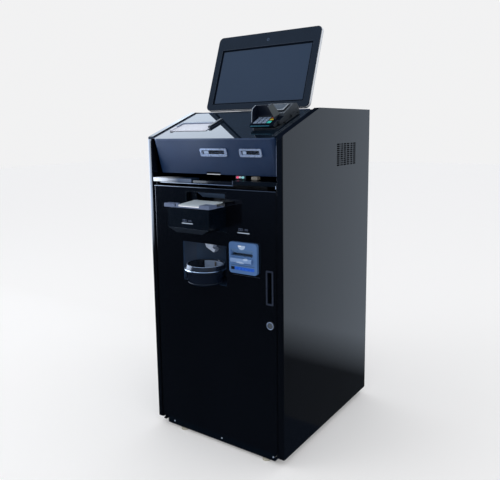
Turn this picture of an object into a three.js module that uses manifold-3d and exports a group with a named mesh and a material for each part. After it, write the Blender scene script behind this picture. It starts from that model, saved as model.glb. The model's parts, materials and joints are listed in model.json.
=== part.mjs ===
// A self-service cash and card kiosk: a tall steel cabinet with a front door that carries the note and coin
// mouths, a lifting hood with the printer, card reader and payment terminal, and a tilting monitor on top.
//
// Millimetres, +Z up. Everything is laid out in a frame whose Y = 0 plane touches the front edges of the side
// panels, with +Y towards the back and Z = 0 on the floor. One outer group then centres the object.

import * as THREE from "three";
import { mergeVertices } from "three/addons/utils/BufferGeometryUtils.js";
import { ConvexGeometry } from "three/addons/geometries/ConvexGeometry.js";
import Module from "manifold-3d";

const wasm = await Module();
wasm.setup();

// ---------------------------------------------------------------- driving dimensions

const WIDTH = 500;
const DEPTH = 600;
const SIDE_THICK = 19;
const SIDE_FRONT_TOP_R = 14;
const SIDE_FRONT_FOOT_R = 10;
const SIDE_ROLL = [15, 6];
const SHEET = 2;
const GAP = 0.4;

const SIDE_BOTTOM = 24;
const FRONT_TOP = 975;
const BACK_TOP = 1055;
const SLOPE_RUN = 222;
const SLOPE = Math.atan2(BACK_TOP - FRONT_TOP, SLOPE_RUN);

const INNER = WIDTH / 2 - SIDE_THICK;
const INNER_FIT = INNER - GAP;

const DOOR_LEFT = -229;
const DOOR_RIGHT = 229.2;
const DOOR_BOTTOM = 36;
const DOOR_TOP = 824;
const DOOR_FRONT = 2;
const DOOR_DEEP = 20;
const DOOR_PIVOT = [-221.5, 9];
const HINGE_ROD_R = 3;

const PLINTH_X = [-211, 216];
const PLINTH_FRONT = 9;
const FRONT_FEET = { x: [-145, 180], y: 18 };
const REAR_FEET = { x: [-167, 167], y: 560 };

const HOPPER_X = [-98, 56];
const HOPPER_Z = [694, 811];
const HOPPER_FRONT = -80;
const HOPPER_TOP = 770.5;

const CUP_X = -26;
const CUP_Y = 3;
const RECESS_X = -31;
const RECESS_R = 85;
const RECESS_Z = [528, 652];

const NOTE_X = [72, 170];
const NOTE_Z = [578, 671];
const NOTE_SLOT_Z = [630.5, 637.5];

const HANDLE_X = [195, 220];
const HANDLE_Z = [495, 597];
const LOCK_X = 208.5;
const LOCK_Z = 434.5;
const LOCK_R = 10.5;

const RAIL_Z = [836, 849.5];

const DECK_Z = 971;
const DECK_HALF = 226;
const DECK_RUN = 233.5;
const DECK_THICK = 4;
const HOOD_CORNER = 16;
const HOOD_SHEET = 2.5;
const HOOD_BACK = 221.6;
const FASCIA_BOTTOM = 862;
const FASCIA_RECEDES = 32;
const FASCIA_LEAN = Math.atan2(FASCIA_RECEDES, DECK_Z - FASCIA_BOTTOM);
const HOOD_PIVOT = [224.3, 1051.2];
const HOOD_KNUCKLE_R = 2.2;

const TOP_PLATE_TOP = 1051;
const TOP_PLATE_FRONT = 227.2;

const MONITOR_WIDTH = 397.4;
const MONITOR_HEIGHT = 267;
const MONITOR_CORNER = 15;
const MONITOR_AT = [-1.2, 245, 1061];
const MONITOR_LEAN = THREE.MathUtils.degToRad(20);
const SCREEN_HALF = 173.5;
const SCREEN_Z = [23.5, 215.5];
const SCREEN_FRAME = 4;
const MONITOR_PIVOT = [55, 45];

const REAR_SHEET_Y = [597, 599.5];
const INLET_PANEL_TOP = 118;

const FAN_Y = 412;
const FAN_Z = 909;
const VENT_COLUMNS = 6;
const VENT_ROWS = 11;

// The front-most piece stands at Y = HOPPER_FRONT and the back at Y = DEPTH, so this centres the object.
const CENTRE_Y = (HOPPER_FRONT + DEPTH) / 2;

// ---------------------------------------------------------------- materials

function paint(color, roughness, metalness) {
  return new THREE.MeshStandardMaterial({ color, roughness, metalness });
}

const blackGloss = paint(0x0b1018, 0.22, 0.1);
const blackSatin = paint(0x14171d, 0.45, 0.1);
const navySatin = paint(0x232d42, 0.42, 0.2);
const mirrorBlack = paint(0x05070b, 0.06, 0.0);
const greySteel = paint(0x8a8f96, 0.4, 0.7);
const silver = paint(0xb4bcc8, 0.3, 0.8);
const cream = paint(0xd2cdb8, 0.5, 0.0);
const paleBlue = paint(0x8ea6cc, 0.35, 0.1);
const darkPlastic = paint(0x1c1f26, 0.5, 0.0);
const screenGlass = paint(0x2e4058, 0.08, 0.0);
const keyLight = paint(0xb8c0cc, 0.5, 0.0);
const keyGreen = paint(0x1e9a8c, 0.5, 0.0);
const keyYellow = paint(0xc8a020, 0.5, 0.0);
const keyRed = paint(0xb02a28, 0.5, 0.0);
const feltTan = paint(0x7a7a60, 0.9, 0.0);

// ---------------------------------------------------------------- geometry helpers

function solidOf(geometry) {
  const bare = geometry.clone();
  bare.deleteAttribute("normal");
  bare.deleteAttribute("uv");
  const merged = mergeVertices(bare, 1e-4);
  const mesh = new wasm.Mesh({
    numProp: 3,
    vertProperties: new Float32Array(merged.attributes.position.array),
    triVerts: new Uint32Array(merged.index.array),
  });
  return new wasm.Manifold(mesh);
}

function geometryOf(solid) {
  const mesh = solid.getMesh();
  const indexed = new THREE.BufferGeometry();
  indexed.setAttribute("position", new THREE.BufferAttribute(mesh.vertProperties, 3));
  indexed.setIndex(new THREE.BufferAttribute(mesh.triVerts, 1));
  const geometry = indexed.toNonIndexed();
  geometry.computeVertexNormals();
  return geometry;
}

function join(first, ...others) {
  return geometryOf(others.reduce((sum, next) => sum.add(solidOf(next)), solidOf(first)));
}

function cut(base, ...tools) {
  return geometryOf(tools.reduce((left, tool) => left.subtract(solidOf(tool)), solidOf(base)));
}

function common(first, second) {
  return geometryOf(solidOf(first).intersect(solidOf(second)));
}

function block([x0, x1], [y0, y1], [z0, z1]) {
  const box = new THREE.BoxGeometry(x1 - x0, y1 - y0, z1 - z0);
  return box.translate((x0 + x1) / 2, (y0 + y1) / 2, (z0 + z1) / 2);
}

function hull(points) {
  return new ConvexGeometry(points.map((p) => new THREE.Vector3(...p)));
}

// The eight corners of a tapered box, from one level rectangle to another.
function taperPoints(lowZ, lowX, lowY, highZ, highX, highY) {
  const corners = (z, xs, ys) => xs.flatMap((x) => ys.map((y) => [x, y, z]));
  return [...corners(lowZ, lowX, lowY), ...corners(highZ, highX, highY)];
}

function outlineOf(points) {
  return new THREE.Shape(points.map(([a, b]) => new THREE.Vector2(a, b)));
}

// A closed outline of [a, b, radius] corners, each rounded off by its radius.
function softOutline(corners) {
  const shape = new THREE.Shape();
  corners.forEach(([a, b, radius], index) => {
    const corner = new THREE.Vector2(a, b);
    const towards = ([x, y]) => new THREE.Vector2(x, y).sub(corner).setLength(radius).add(corner);
    const entry = towards(corners.at(index - 1));
    const exit = towards(corners[(index + 1) % corners.length]);
    if (index === 0) {
      shape.moveTo(entry.x, entry.y);
    } else {
      shape.lineTo(entry.x, entry.y);
    }
    if (radius > 0) {
      shape.quadraticCurveTo(a, b, exit.x, exit.y);
    }
  });
  shape.closePath();
  return shape;
}

// A rectangle with a radius for each corner, in the order low-low, high-low, high-high, low-high.
function roundedRect([a0, a1], [b0, b1], radii) {
  const [r0, r1, r2, r3] = Array.isArray(radii) ? radii : [radii, radii, radii, radii];
  const shape = new THREE.Shape();
  shape.moveTo(a0 + r0, b0);
  shape.lineTo(a1 - r1, b0);
  shape.absarc(a1 - r1, b0 + r1, r1, -Math.PI / 2, 0, false);
  shape.lineTo(a1, b1 - r2);
  shape.absarc(a1 - r2, b1 - r2, r2, 0, Math.PI / 2, false);
  shape.lineTo(a0 + r3, b1);
  shape.absarc(a0 + r3, b1 - r3, r3, Math.PI / 2, Math.PI, false);
  shape.lineTo(a0, b0 + r0);
  shape.absarc(a0 + r0, b0 + r0, r0, Math.PI, Math.PI * 1.5, false);
  return shape;
}

function circle(a, b, radius) {
  const shape = new THREE.Shape();
  shape.absarc(a, b, radius, 0, Math.PI * 2, false);
  return shape;
}

function extruded(shape, length, segments = 3) {
  return new THREE.ExtrudeGeometry(shape, { depth: length, bevelEnabled: false, curveSegments: segments });
}

// An XY outline, pushed along Z.
function prismZ(shape, [z0, z1], segments) {
  return extruded(shape, z1 - z0, segments).translate(0, 0, z0);
}

// An outline of (y, z) points, pushed along X.
function prismX(shape, [x0, x1], segments) {
  const turn = new THREE.Matrix4().makeBasis(
    new THREE.Vector3(0, 1, 0),
    new THREE.Vector3(0, 0, 1),
    new THREE.Vector3(1, 0, 0),
  );
  return extruded(shape, x1 - x0, segments).applyMatrix4(turn).translate(x0, 0, 0);
}

// An outline of (x, z) points, pushed along Y.
function prismY(shape, [y0, y1], segments) {
  return extruded(shape, y1 - y0, segments).rotateX(Math.PI / 2).translate(0, y1, 0);
}

function mirrored(side, [x0, x1]) {
  return side > 0 ? [x0, x1] : [-x1, -x0];
}

function node(parent, name, geometry, material) {
  const mesh = new THREE.Mesh(geometry, material);
  mesh.name = name;
  parent.add(mesh);
}

// ---------------------------------------------------------------- cabinet

function sideProfile(inset) {
  const top = inset / Math.cos(SLOPE);
  return softOutline([
    [0, SIDE_BOTTOM + inset, SIDE_FRONT_FOOT_R],
    [DEPTH - inset, SIDE_BOTTOM + inset, 0],
    [DEPTH - inset, BACK_TOP - inset, 0],
    [SLOPE_RUN, BACK_TOP - inset - (top - inset) / 2, 0],
    [0, FRONT_TOP - top, SIDE_FRONT_TOP_R],
  ]);
}

// A side panel seen from above. Its front outer edge is rolled: wide across the front, shallow along the side.
function sidePlan(side) {
  const [rollX, rollY] = SIDE_ROLL;
  const innerChamfer = 2;
  const steps = 8;
  const roll = Array.from({ length: steps + 1 }, (_, index) => {
    const turn = (index / steps) * (Math.PI / 2);
    return [WIDTH / 2 - rollX + rollX * Math.sin(turn), rollY - rollY * Math.cos(turn)];
  });
  const innerFront = [[INNER, innerChamfer], [INNER + innerChamfer, 0]];
  const points = [[INNER, DEPTH], ...innerFront, ...roll, [WIDTH / 2, DEPTH]];
  return outlineOf(points.map(([x, y]) => [side * x, y]));
}

// A folded side panel: an outer skin with a deep rim all round, open towards the inside of the cabinet.
function sidePanel(side) {
  const rimBehindFront = 23.5;
  const xs = mirrored(side, [INNER, WIDTH / 2]);
  const slab = prismZ(sidePlan(side), [SIDE_BOTTOM, BACK_TOP]);
  const outer = common(slab, prismX(sideProfile(0), xs, 5));
  const pocketX = mirrored(side, [INNER - 1, WIDTH / 2 - SHEET]);
  const behindRim = block(pocketX, [rimBehindFront, DEPTH], [0, BACK_TOP]);
  return cut(outer, common(prismX(sideProfile(SHEET), pocketX), behindRim));
}

function ventSlots() {
  const slot = [19, 4.2];
  const pitch = [24.7, 6.65];
  const slots = [];
  for (let column = 0; column < VENT_COLUMNS; column += 1) {
    for (let row = 0; row < VENT_ROWS; row += 1) {
      const y = FAN_Y + (column - (VENT_COLUMNS - 1) / 2) * pitch[0];
      const z = FAN_Z + (row - (VENT_ROWS - 1) / 2) * pitch[1];
      const across = [y - slot[0] / 2, y + slot[0] / 2];
      slots.push(block([WIDTH / 2 - 4, WIDTH / 2 + 1], across, [z - slot[1] / 2, z + slot[1] / 2]));
    }
  }
  return slots;
}

function basePlate() {
  const heights = [19.6, 23.6];
  const plate = block([-233, 233], [24, 596], heights);
  const tongue = block([PLINTH_X[0] + SHEET, PLINTH_X[1] - SHEET], [PLINTH_FRONT + SHEET + GAP, 25], heights);
  const hingeEar = block([DOOR_PIVOT[0] - 5.5, DOOR_PIVOT[0] + 5.5], [4, 25], heights);
  return join(plate, tongue, hingeEar);
}

// A kick plate bent into a U: its front reaches up to the door and its arms run back under the base plate.
function plinth() {
  const [left, right] = PLINTH_X;
  const [foot, underBase, top] = [9, 19.2, DOOR_BOTTOM - 3];
  const front = block(PLINTH_X, [PLINTH_FRONT, PLINTH_FRONT + SHEET], [foot, top]);
  const arms = block(PLINTH_X, [PLINTH_FRONT, 590], [foot, underBase]);
  const inside = block([left + SHEET, right - SHEET], [PLINTH_FRONT + SHEET, 591], [0, top]);
  return join(front, cut(arms, inside));
}

function levellingFoot() {
  const profile = [
    [0, 0],
    [12.5, 0],
    [12.5, 7],
    [9, 8.2],
    [4, 8.2],
    [4, 19.2],
    [0, 19.2],
  ];
  return latheZ(profile, 16);
}

function latheZ(profile, segments) {
  const points = profile.map(([r, z]) => new THREE.Vector2(r, z));
  return new THREE.LatheGeometry(points, segments).rotateX(Math.PI / 2);
}

function rearPanel() {
  return block([-INNER_FIT, INNER_FIT], REAR_SHEET_Y, [INLET_PANEL_TOP + GAP, 1048.4]);
}

// The fixed top behind the hood, with the hinge barrel that the hood turns on.
function topPlate() {
  const back = 599.5;
  const heights = [TOP_PLATE_TOP - SHEET, TOP_PLATE_TOP];
  const sheet = block([-INNER_FIT, INNER_FIT], [TOP_PLATE_FRONT, back], heights);
  const flange = block([-INNER_FIT, INNER_FIT], [TOP_PLATE_FRONT, TOP_PLATE_FRONT + SHEET], [1030, 1050]);
  const barrel = prismX(circle(...HOOD_PIVOT, HOOD_KNUCKLE_R), [-150, 150], 5);
  const web = block([-150, 150], [HOOD_PIVOT[0], TOP_PLATE_FRONT + 1], heights);
  return join(sheet, flange, barrel, web);
}

// The cross rail between the door and the hood, with a lowered middle.
function frontRail() {
  const whole = block([-INNER_FIT, INNER_FIT], [1, 40], RAIL_Z);
  const middle = block([-72, 82], [0, 30], [RAIL_Z[1] - 4.5, RAIL_Z[1] + 1]);
  const middleFront = block([-72, 82], [0, 5], [RAIL_Z[0] - 1, RAIL_Z[1] + 1]);
  return cut(whole, middle, middleFront);
}

function equipmentRack() {
  const shelfY = [150, 592];
  const half = INNER - 2;
  const lower = block([-half, half], shelfY, [498, 500]);
  const upper = block([-half, half], shelfY, [672, 674]);
  const cheeks = [-1, 1].map((side) => block(mirrored(side, [half - 2, half]), shelfY, [200, 674]));
  const lips = [498, 672].map((z) => block([-half, half], [150, 152], [z - 14, z + 2]));
  return join(lower, upper, ...cheeks, ...lips);
}

function banknoteRecycler() {
  const body = block([-110, 90], [180, 560], [674.4, 815]);
  const mouth = block([-80, 40], [165, 181], [740, 800]);
  const cassettePull = block([-40, 10], [172, 181], [690, 700]);
  return cut(join(body, mouth, cassettePull), block([-70, 30], [160, 200], [768, 774]));
}

function coinChanger() {
  const hopper = taperPoints(560, [-130, 60], [165, 480], 650, [-120, 50], [175, 470]);
  const base = block([-130, 60], [165, 480], [500.4, 560.5]);
  const chute = block([-60, 0], [150, 170], [600, 622]);
  const inside = block([-112, 42], [182, 490], [504, 644]);
  return cut(join(hull(hopper), base, chute), inside);
}

function controllerBox() {
  const shell = cut(block([-150, 150], [200, 560], [24, 300]), block([-148, 148], [208, 570], [26, 298]));
  const fins = [-120, -90, -60, -30, 0, 30, 60, 90, 120].map((x) => {
    return block([x - 4, x + 4], [198, 206], [220, 280]);
  });
  return cut(shell, ...fins);
}

// The strip across the foot of the back that carries the mains inlet.
function inletPanel() {
  const sheet = block([-INNER_FIT, INNER_FIT], REAR_SHEET_Y, [24.2, INLET_PANEL_TOP]);
  const flange = block([137, 193], [599, DEPTH], [77, 113]);
  const body = block([139, 191], [575, 599.8], [79, 111]);
  return cut(join(sheet, flange, body), block([151, 179], [583, 601], [85, 105]));
}

function fanFrame() {
  const half = 40;
  const xs = [222.6, 247.6];
  const square = roundedRect([FAN_Y - half, FAN_Y + half], [FAN_Z - half, FAN_Z + half], 5);
  const bored = cut(prismX(square, xs, 2), prismX(circle(FAN_Y, FAN_Z, 38), [220, 250], 16));
  const hub = prismX(circle(FAN_Y, FAN_Z, 14), [xs[0], xs[0] + 2.6], 10);
  const struts = [0, 1].map((turn) => {
    const bar = block([xs[0], xs[0] + 2.6], [-38.5, 38.5], [-2, 2]);
    return bar.rotateX(Math.PI / 4 + (turn * Math.PI) / 2).translate(0, FAN_Y, FAN_Z);
  });
  return join(bored, hub, ...struts);
}

function fanRotor() {
  const blades = 7;
  const pitch = THREE.MathUtils.degToRad(38);
  const hub = prismX(circle(FAN_Y, FAN_Z, 15), [225.8, 245.5], 12);
  const swept = prismX(circle(FAN_Y, FAN_Z, 36.6), [226, 246], 24);
  const all = Array.from({ length: blades }, (_, index) => {
    const blade = block([-12, 12], [-0.9, 0.9], [8, 40]).rotateZ(pitch);
    return blade.rotateX((index * 2 * Math.PI) / blades).translate(235.8, FAN_Y, FAN_Z);
  });
  return common(join(hub, ...all), swept);
}

function doorHingeRod() {
  return prismZ(circle(...DOOR_PIVOT, HINGE_ROD_R), [SIDE_BOTTOM, RAIL_Z[0] - GAP], 6);
}

// ---------------------------------------------------------------- door

function doorPanel() {
  const ys = [DOOR_FRONT, DOOR_FRONT + DOOR_DEEP];
  const skin = DOOR_FRONT + SHEET;
  const through = [DOOR_FRONT - 1, skin + 1];
  const outline = roundedRect([DOOR_LEFT, DOOR_RIGHT], ys, [5, 2, 0.5, 0.5]);
  const outer = prismZ(outline, [DOOR_BOTTOM, DOOR_TOP]);
  const pocket = block(
    [DOOR_LEFT + SHEET, DOOR_RIGHT - SHEET],
    [skin, ys[1] + 1],
    [DOOR_BOTTOM + SHEET, DOOR_TOP - SHEET],
  );
  const hopperHole = block(
    [HOPPER_X[0] - GAP, HOPPER_X[1] + GAP],
    through,
    [HOPPER_Z[0] - GAP, HOPPER_Z[1] + GAP],
  );
  const coinHole = block([RECESS_X - RECESS_R, RECESS_X + RECESS_R], through, RECESS_Z);
  const noteHole = block([NOTE_X[0] + 7.6, NOTE_X[1] - 7.6], through, [NOTE_Z[0] + 7.6, NOTE_Z[1] - 7.6]);
  const handleHole = block(
    [HANDLE_X[0] + 3.6, HANDLE_X[1] - 3.6],
    through,
    [HANDLE_Z[0] + 3.6, HANDLE_Z[1] - 3.6],
  );
  const lockHole = prismY(circle(LOCK_X, LOCK_Z, LOCK_R), through, 8);
  const rodHole = prismZ(circle(...DOOR_PIVOT, HINGE_ROD_R + 0.5), [0, 900], 6);
  return cut(outer, pocket, hopperHole, coinHole, noteHole, handleHole, lockHole, rodHole);
}

// The note hopper: a box that stands out of the door, tapered underneath, with a deep mouth over its tray.
function noteHopper() {
  const [x0, x1] = HOPPER_X;
  const back = 75;
  const front = hull(taperPoints(695, [-79, 21], [-68, 4], 711, HOPPER_X, [HOPPER_FRONT, 4]));
  const top = block(HOPPER_X, [HOPPER_FRONT, 4], [710.9, HOPPER_TOP]);
  const rear = block(HOPPER_X, [DOOR_FRONT, back], HOPPER_Z);
  const mouth = block([x0 + 3, x1 - 3], [DOOR_FRONT - 1, 18], [HOPPER_TOP, HOPPER_Z[1] - 3]);
  const funnelFront = [[-66, 16], [44, 16]].flatMap(([x, y]) => [[x, y, HOPPER_TOP], [x, y, 807]]);
  const funnelBack = [[-62, 62], [18, 62]].flatMap(([x, y]) => [[x, y, HOPPER_TOP], [x, y, 788]]);
  return cut(join(front, top, rear), mouth, hull([...funnelFront, ...funnelBack]));
}

// The cream plate that the notes lie on: an L that leaves room for the right guide, rising towards the back.
function hopperTray() {
  const outline = outlineOf([
    [-57.4, -79],
    [21.4, -79],
    [21.4, -43.4],
    [50, -43.4],
    [50, -4],
    [-57.4, -4],
  ]);
  const rise = 5 / 75;
  const lift = new THREE.Matrix4().set(1, 0, 0, 0, 0, 1, 0, 0, 0, rise, 1, rise * 79, 0, 0, 0, 1);
  return prismZ(outline, [778, 780.5]).applyMatrix4(lift);
}

// The bright rail under the tray, with the two note guides standing on it.
function trayRail() {
  const base = HOPPER_TOP + GAP;
  const plate = block([-97, 55], [-79.5, -6], [base, base + 3]);
  const leftGuide = block([-113, -72], [HOPPER_FRONT, -56], [base, 781.5]);
  const leftStop = block([-66, -58], [HOPPER_FRONT, -70], [base, 783.5]);
  const rightGuide = block([22, 57.6], [HOPPER_FRONT, -44], [base, 782]);
  const lip = block([-59, 23], [-79.5, -76], [base, 777.4]);
  return join(plate, leftGuide, leftStop, rightGuide, lip);
}

// The niche behind the coin cup: a half cylinder with a flange against the back of the door skin.
function coinRecess() {
  const wall = 2.5;
  const backOfSkin = DOOR_FRONT + SHEET + GAP;
  const halfRound = (radius) => {
    const shape = new THREE.Shape();
    shape.absarc(RECESS_X, backOfSkin, radius, 0, Math.PI, false);
    return shape;
  };
  const outer = prismZ(halfRound(RECESS_R + wall), [RECESS_Z[0] - wall, RECESS_Z[1] + wall], 18);
  const flangeX = [RECESS_X - RECESS_R - 10, RECESS_X + RECESS_R + 5];
  const flange = block(flangeX, [backOfSkin, backOfSkin + 2], [RECESS_Z[0] - 8, RECESS_Z[1] + 8]);
  const inner = prismZ(halfRound(RECESS_R), RECESS_Z, 18);
  const opening = block([RECESS_X - RECESS_R, RECESS_X + RECESS_R], [0, backOfSkin + 0.5], RECESS_Z);
  return cut(join(outer, flange), inner, opening);
}

// The coin chute that hangs from the roof of the niche over the cup.
function coinNozzle() {
  const outline = outlineOf([
    [-53, 643],
    [-48, 632],
    [-19, 618],
    [-13, 627],
    [-24, 634],
    [-19, 643],
    [-22, RECESS_Z[1] - GAP],
    [-50, RECESS_Z[1] - GAP],
  ]);
  return prismY(outline, [36, 58]);
}

// A round cup with a bright collar, half out of the door, with a low rib on its back wall.
function coinCup() {
  const profile = [
    [0, RECESS_Z[0] + GAP],
    [47, RECESS_Z[0] + GAP],
    [54, 533],
    [61.5, 571],
    [66, 573],
    [66, 577.5],
    [57.5, 591],
    [55, 591],
    [54, 588],
    [50.5, 542],
    [44, 535],
    [0, 534],
  ];
  const bowl = latheZ(profile, 40).translate(CUP_X, CUP_Y, 0);
  const rib = block([CUP_X - 1, CUP_X + 1], [CUP_Y + 42, CUP_Y + 54], [534.5, 585]);
  return join(bowl, rib);
}

// The note mouth: a thick rounded bezel with a slot under a sloping brow and over a rounded lower lip.
function noteBezel() {
  const front = -8;
  const plate = prismY(roundedRect(NOTE_X, NOTE_Z, 9), [front, DOOR_FRONT - GAP], 4);
  const neck = block([NOTE_X[0] + 8, NOTE_X[1] - 8], [0, 20], [NOTE_Z[0] + 8, NOTE_Z[1] - 8]);
  const lip = new THREE.CylinderGeometry(9, 9, 74, 16).rotateZ(Math.PI / 2).translate(118, -7, 618);
  const slotX = [80, 154];
  const slot = block(slotX, [-30, 40], NOTE_SLOT_Z);
  const brow = hull([
    ...[78, 156].flatMap((x) => [[x, front - 1, NOTE_SLOT_Z[0] + 0.1], [x, front - 1, 652]]),
    ...slotX.flatMap((x) => [[x, 0, NOTE_SLOT_Z[0] + 0.1], [x, 0, NOTE_SLOT_Z[1]]]),
  ]);
  return cut(join(plate, neck, lip), slot, brow);
}

function noteValidator() {
  const body = block([76, 166], [24, 130], [582, 667]);
  const throat = block([82, 152], [20, 60], [NOTE_SLOT_Z[0] - 1, NOTE_SLOT_Z[1] + 1]);
  const stackerDrum = block([84, 158], [60, 128], [560, 583]);
  return cut(join(body, stackerDrum), throat);
}

// A flush pull: a frame on the skin around a pocket for the fingers.
function doorHandle() {
  const frame = prismY(roundedRect(HANDLE_X, HANDLE_Z, 2), [-0.5, DOOR_FRONT - GAP], 2);
  const cup = block([HANDLE_X[0] + 4, HANDLE_X[1] - 4], [0, 20], [HANDLE_Z[0] + 4, HANDLE_Z[1] - 4]);
  const pocket = block([HANDLE_X[0] + 6, HANDLE_X[1] - 6], [-2, 18], [HANDLE_Z[0] + 6, HANDLE_Z[1] - 6]);
  return cut(join(frame, cup), pocket);
}

// The cylinder lock with its cam behind the door. At rest the cam hangs down, clear of the side panel's rim.
function doorLock() {
  const face = prismY(circle(LOCK_X, LOCK_Z, 12), [-1.5, DOOR_FRONT - GAP], 8);
  const barrel = prismY(circle(LOCK_X, LOCK_Z, LOCK_R - GAP), [0, 26], 8);
  const cam = block([LOCK_X - 7, LOCK_X + 7], [24.2, 27.2], [LOCK_Z - 32, LOCK_Z + 7]);
  const keyway = block([LOCK_X - 1, LOCK_X + 1], [-3, 4], [LOCK_Z - 4.5, LOCK_Z + 4.5]);
  return cut(join(face, barrel, cam), keyway);
}

// ---------------------------------------------------------------- hood

// Turns upright shapes into ones whose front recedes towards the bottom, about the top front edge.
function lean(geometry) {
  const slant = Math.tan(FASCIA_LEAN);
  const matrix = new THREE.Matrix4().set(1, 0, 0, 0, 0, 1, -slant, slant * DECK_Z, 0, 0, 1, 0, 0, 0, 0, 1);
  return geometry.applyMatrix4(matrix);
}

// From the deck's own frame (Y up the slope, Z its normal) to the object's frame.
function onDeck(geometry) {
  return geometry.rotateX(SLOPE).translate(0, 0, DECK_Z);
}

// From the fascia's own frame (Y inwards, Z up the face from its bottom edge) to the object's frame.
function onFascia(geometry, height) {
  const along = (height - FASCIA_BOTTOM) / (DECK_Z - FASCIA_BOTTOM);
  return geometry.rotateX(FASCIA_LEAN).translate(0, FASCIA_RECEDES * (1 - along), height);
}

function hoodBlank(inset, belowDeck) {
  const half = DECK_HALF + 1 - inset;
  const corner = HOOD_CORNER - inset;
  const outline = roundedRect([-half, half], [inset, 420], [corner, corner, 0.1, 0.1]);
  const tall = lean(prismZ(outline, [FASCIA_BOTTOM - inset * 4, 1100], 5));
  const underDeck = onDeck(block([-300, 300], [-300, 500], [-400, -belowDeck]));
  return common(tall, underDeck);
}

// The folded hood: a leaning front, two side walls and the sheet under the deck panel.
function hoodShell() {
  const under = DECK_THICK + GAP;
  const outer = common(hoodBlank(0, under), block([-300, 300], [-50, HOOD_BACK], [800, 1100]));
  const inner = hoodBlank(HOOD_SHEET, under + HOOD_SHEET);
  const lowBack = prismX(
    outlineOf([
      [90, 800],
      [400, 800],
      [400, 1020],
      [HOOD_BACK, 1020],
      [90, FASCIA_BOTTOM + 10],
    ]),
    [-300, 300],
  );
  const shell = cut(outer, inner, lowBack, ...slotHoles());
  const leaves = [-1, 1].flatMap((side) => {
    const xs = mirrored(side, [151, 214]);
    return [
      block(xs, [HOOD_BACK - 0.3, HOOD_BACK + 2.4], [1036, HOOD_PIVOT[1]]),
      prismX(circle(...HOOD_PIVOT, HOOD_KNUCKLE_R), xs, 5),
    ];
  });
  return join(shell, ...leaves);
}

const RECEIPT_SLOT = { x: [-41, 57], z: 929.5, tall: 25, slot: [-30, 44] };
const CARD_SLOT = { x: [102.5, 177.5], z: 929, tall: 24.5, slot: [112, 166] };

function slotHoles() {
  return [RECEIPT_SLOT, CARD_SLOT].map(({ x, z, tall }) => {
    const halfTall = tall / 2 - 4.5;
    return onFascia(block([x[0] + 5.5, x[1] - 5.5], [-5, 10], [-halfTall, halfTall]), z);
  });
}

// A raised bezel with a funnel that narrows to a thin slot.
function slotBezel({ x, z, tall, slot }) {
  const half = tall / 2;
  const slotHalf = 1.7;
  const plate = prismY(roundedRect(x, [-half, half], 5), [-3.5, -GAP], 3);
  const neck = block([x[0] + 6, x[1] - 6], [-1, 14], [5 - half, half - 5]);
  const thin = block(slot, [-10, 20], [-slotHalf, slotHalf]);
  const funnel = hull([
    ...[slot[0] - 6, slot[1] + 6].flatMap((a) => [[a, -3.6, -7.5], [a, -3.6, 7.5]]),
    ...slot.flatMap((a) => [[a, 5, -slotHalf], [a, 5, slotHalf]]),
  ]);
  return onFascia(cut(join(plate, neck), thin, funnel), z);
}

function deckPanel() {
  const outline = roundedRect([-DECK_HALF, DECK_HALF], [-1.5, DECK_RUN], [HOOD_CORNER, HOOD_CORNER, 1, 1]);
  return prismZ(outline, [-DECK_THICK, 0], 5);
}

// The document window on the left of the deck: a plate with a low stop on its left and back, and a taller
// guide on its right that runs on past the plate. It is open towards the front.
function readerFrame() {
  const plate = block([-200, -56], [62, 128], [0.3, 1.5]);
  const left = block([-204, -195], [62, 133], [0.3, 5]);
  const back = block([-204, -78], [124, 133], [0.3, 5]);
  const right = block([-63, -54], [85, 155], [0.3, 8]);
  return join(plate, left, back, right);
}

function hangers(xs, ys, fromZ) {
  const roof = (y) => DECK_Z + y * Math.tan(SLOPE) - 8;
  const outline = outlineOf([
    [ys[0], fromZ],
    [ys[1], fromZ],
    [ys[1], roof(ys[1])],
    [ys[0], roof(ys[0])],
  ]);
  return [prismX(outline, [xs[0], xs[0] + 3]), prismX(outline, [xs[1] - 3, xs[1]])];
}

function receiptPrinter() {
  const xs = [-50, 66];
  const body = block(xs, [30, 150], [885, 955]);
  const roll = new THREE.CylinderGeometry(32, 32, 90, 24).rotateZ(Math.PI / 2).translate(8, 110, 950);
  return join(body, roll, ...hangers(xs, [60, 140], 950));
}

function cardReader() {
  const xs = [98, 182];
  const body = block(xs, [30, 135], [905, 948]);
  const motor = block([105, 140], [134, 160], [908, 935]);
  return join(body, motor, ...hangers(xs, [50, 120], 945));
}

// ---------------------------------------------------------------- payment terminal, in the deck's frame

const TERMINAL_X = [108, 198];
const KEYPAD_RIGHT = 190;
const KEYPAD_SLOPE = Math.atan2(5, 42);
const KEY_TRAVEL = 1.5;
const KEY_SIZE = [12.4, 7.6, 4];
const ENTER_KEY_SIZE = [13, 13, 4];
const KEY_PITCH = [15.4, 10.2];
const KEY_FIRST = [122.5, 74.5];

function terminalProfile(grow) {
  return outlineOf([
    [66 - grow, 6.3 - grow],
    [62 - grow, 10 - grow],
    [62 - grow, 13 + grow],
    [68, 16.8 + grow],
    [112 - grow, 22 + grow],
    [118 - grow, 30 + grow],
    [182, 39 + grow],
    [198 + grow, 34 + grow],
    [204 + grow, 22 + grow],
    [204 + grow, 6.3 - grow],
  ]);
}

function terminalCradle() {
  const plate = prismZ(roundedRect([112, 196], [68, 208], 6), [0.3, 3.3], 3);
  const tray = block([104, 202], [110, 202], [3, 5.9]);
  const clips = [-1, 1].map((side) => {
    const xs = side > 0 ? [198.4, 202] : [104, 107.6];
    return block(xs, [150, 176], [5, 14]);
  });
  return join(plate, tray, ...clips);
}

// A point on the keypad plane, given its distance along the deck.
function keypadHeight(y) {
  return 17 + (y - 70) * Math.tan(KEYPAD_SLOPE);
}

function onKeypad(geometry, x, y) {
  return geometry.rotateX(KEYPAD_SLOPE).translate(x, y, keypadHeight(y));
}

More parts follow.
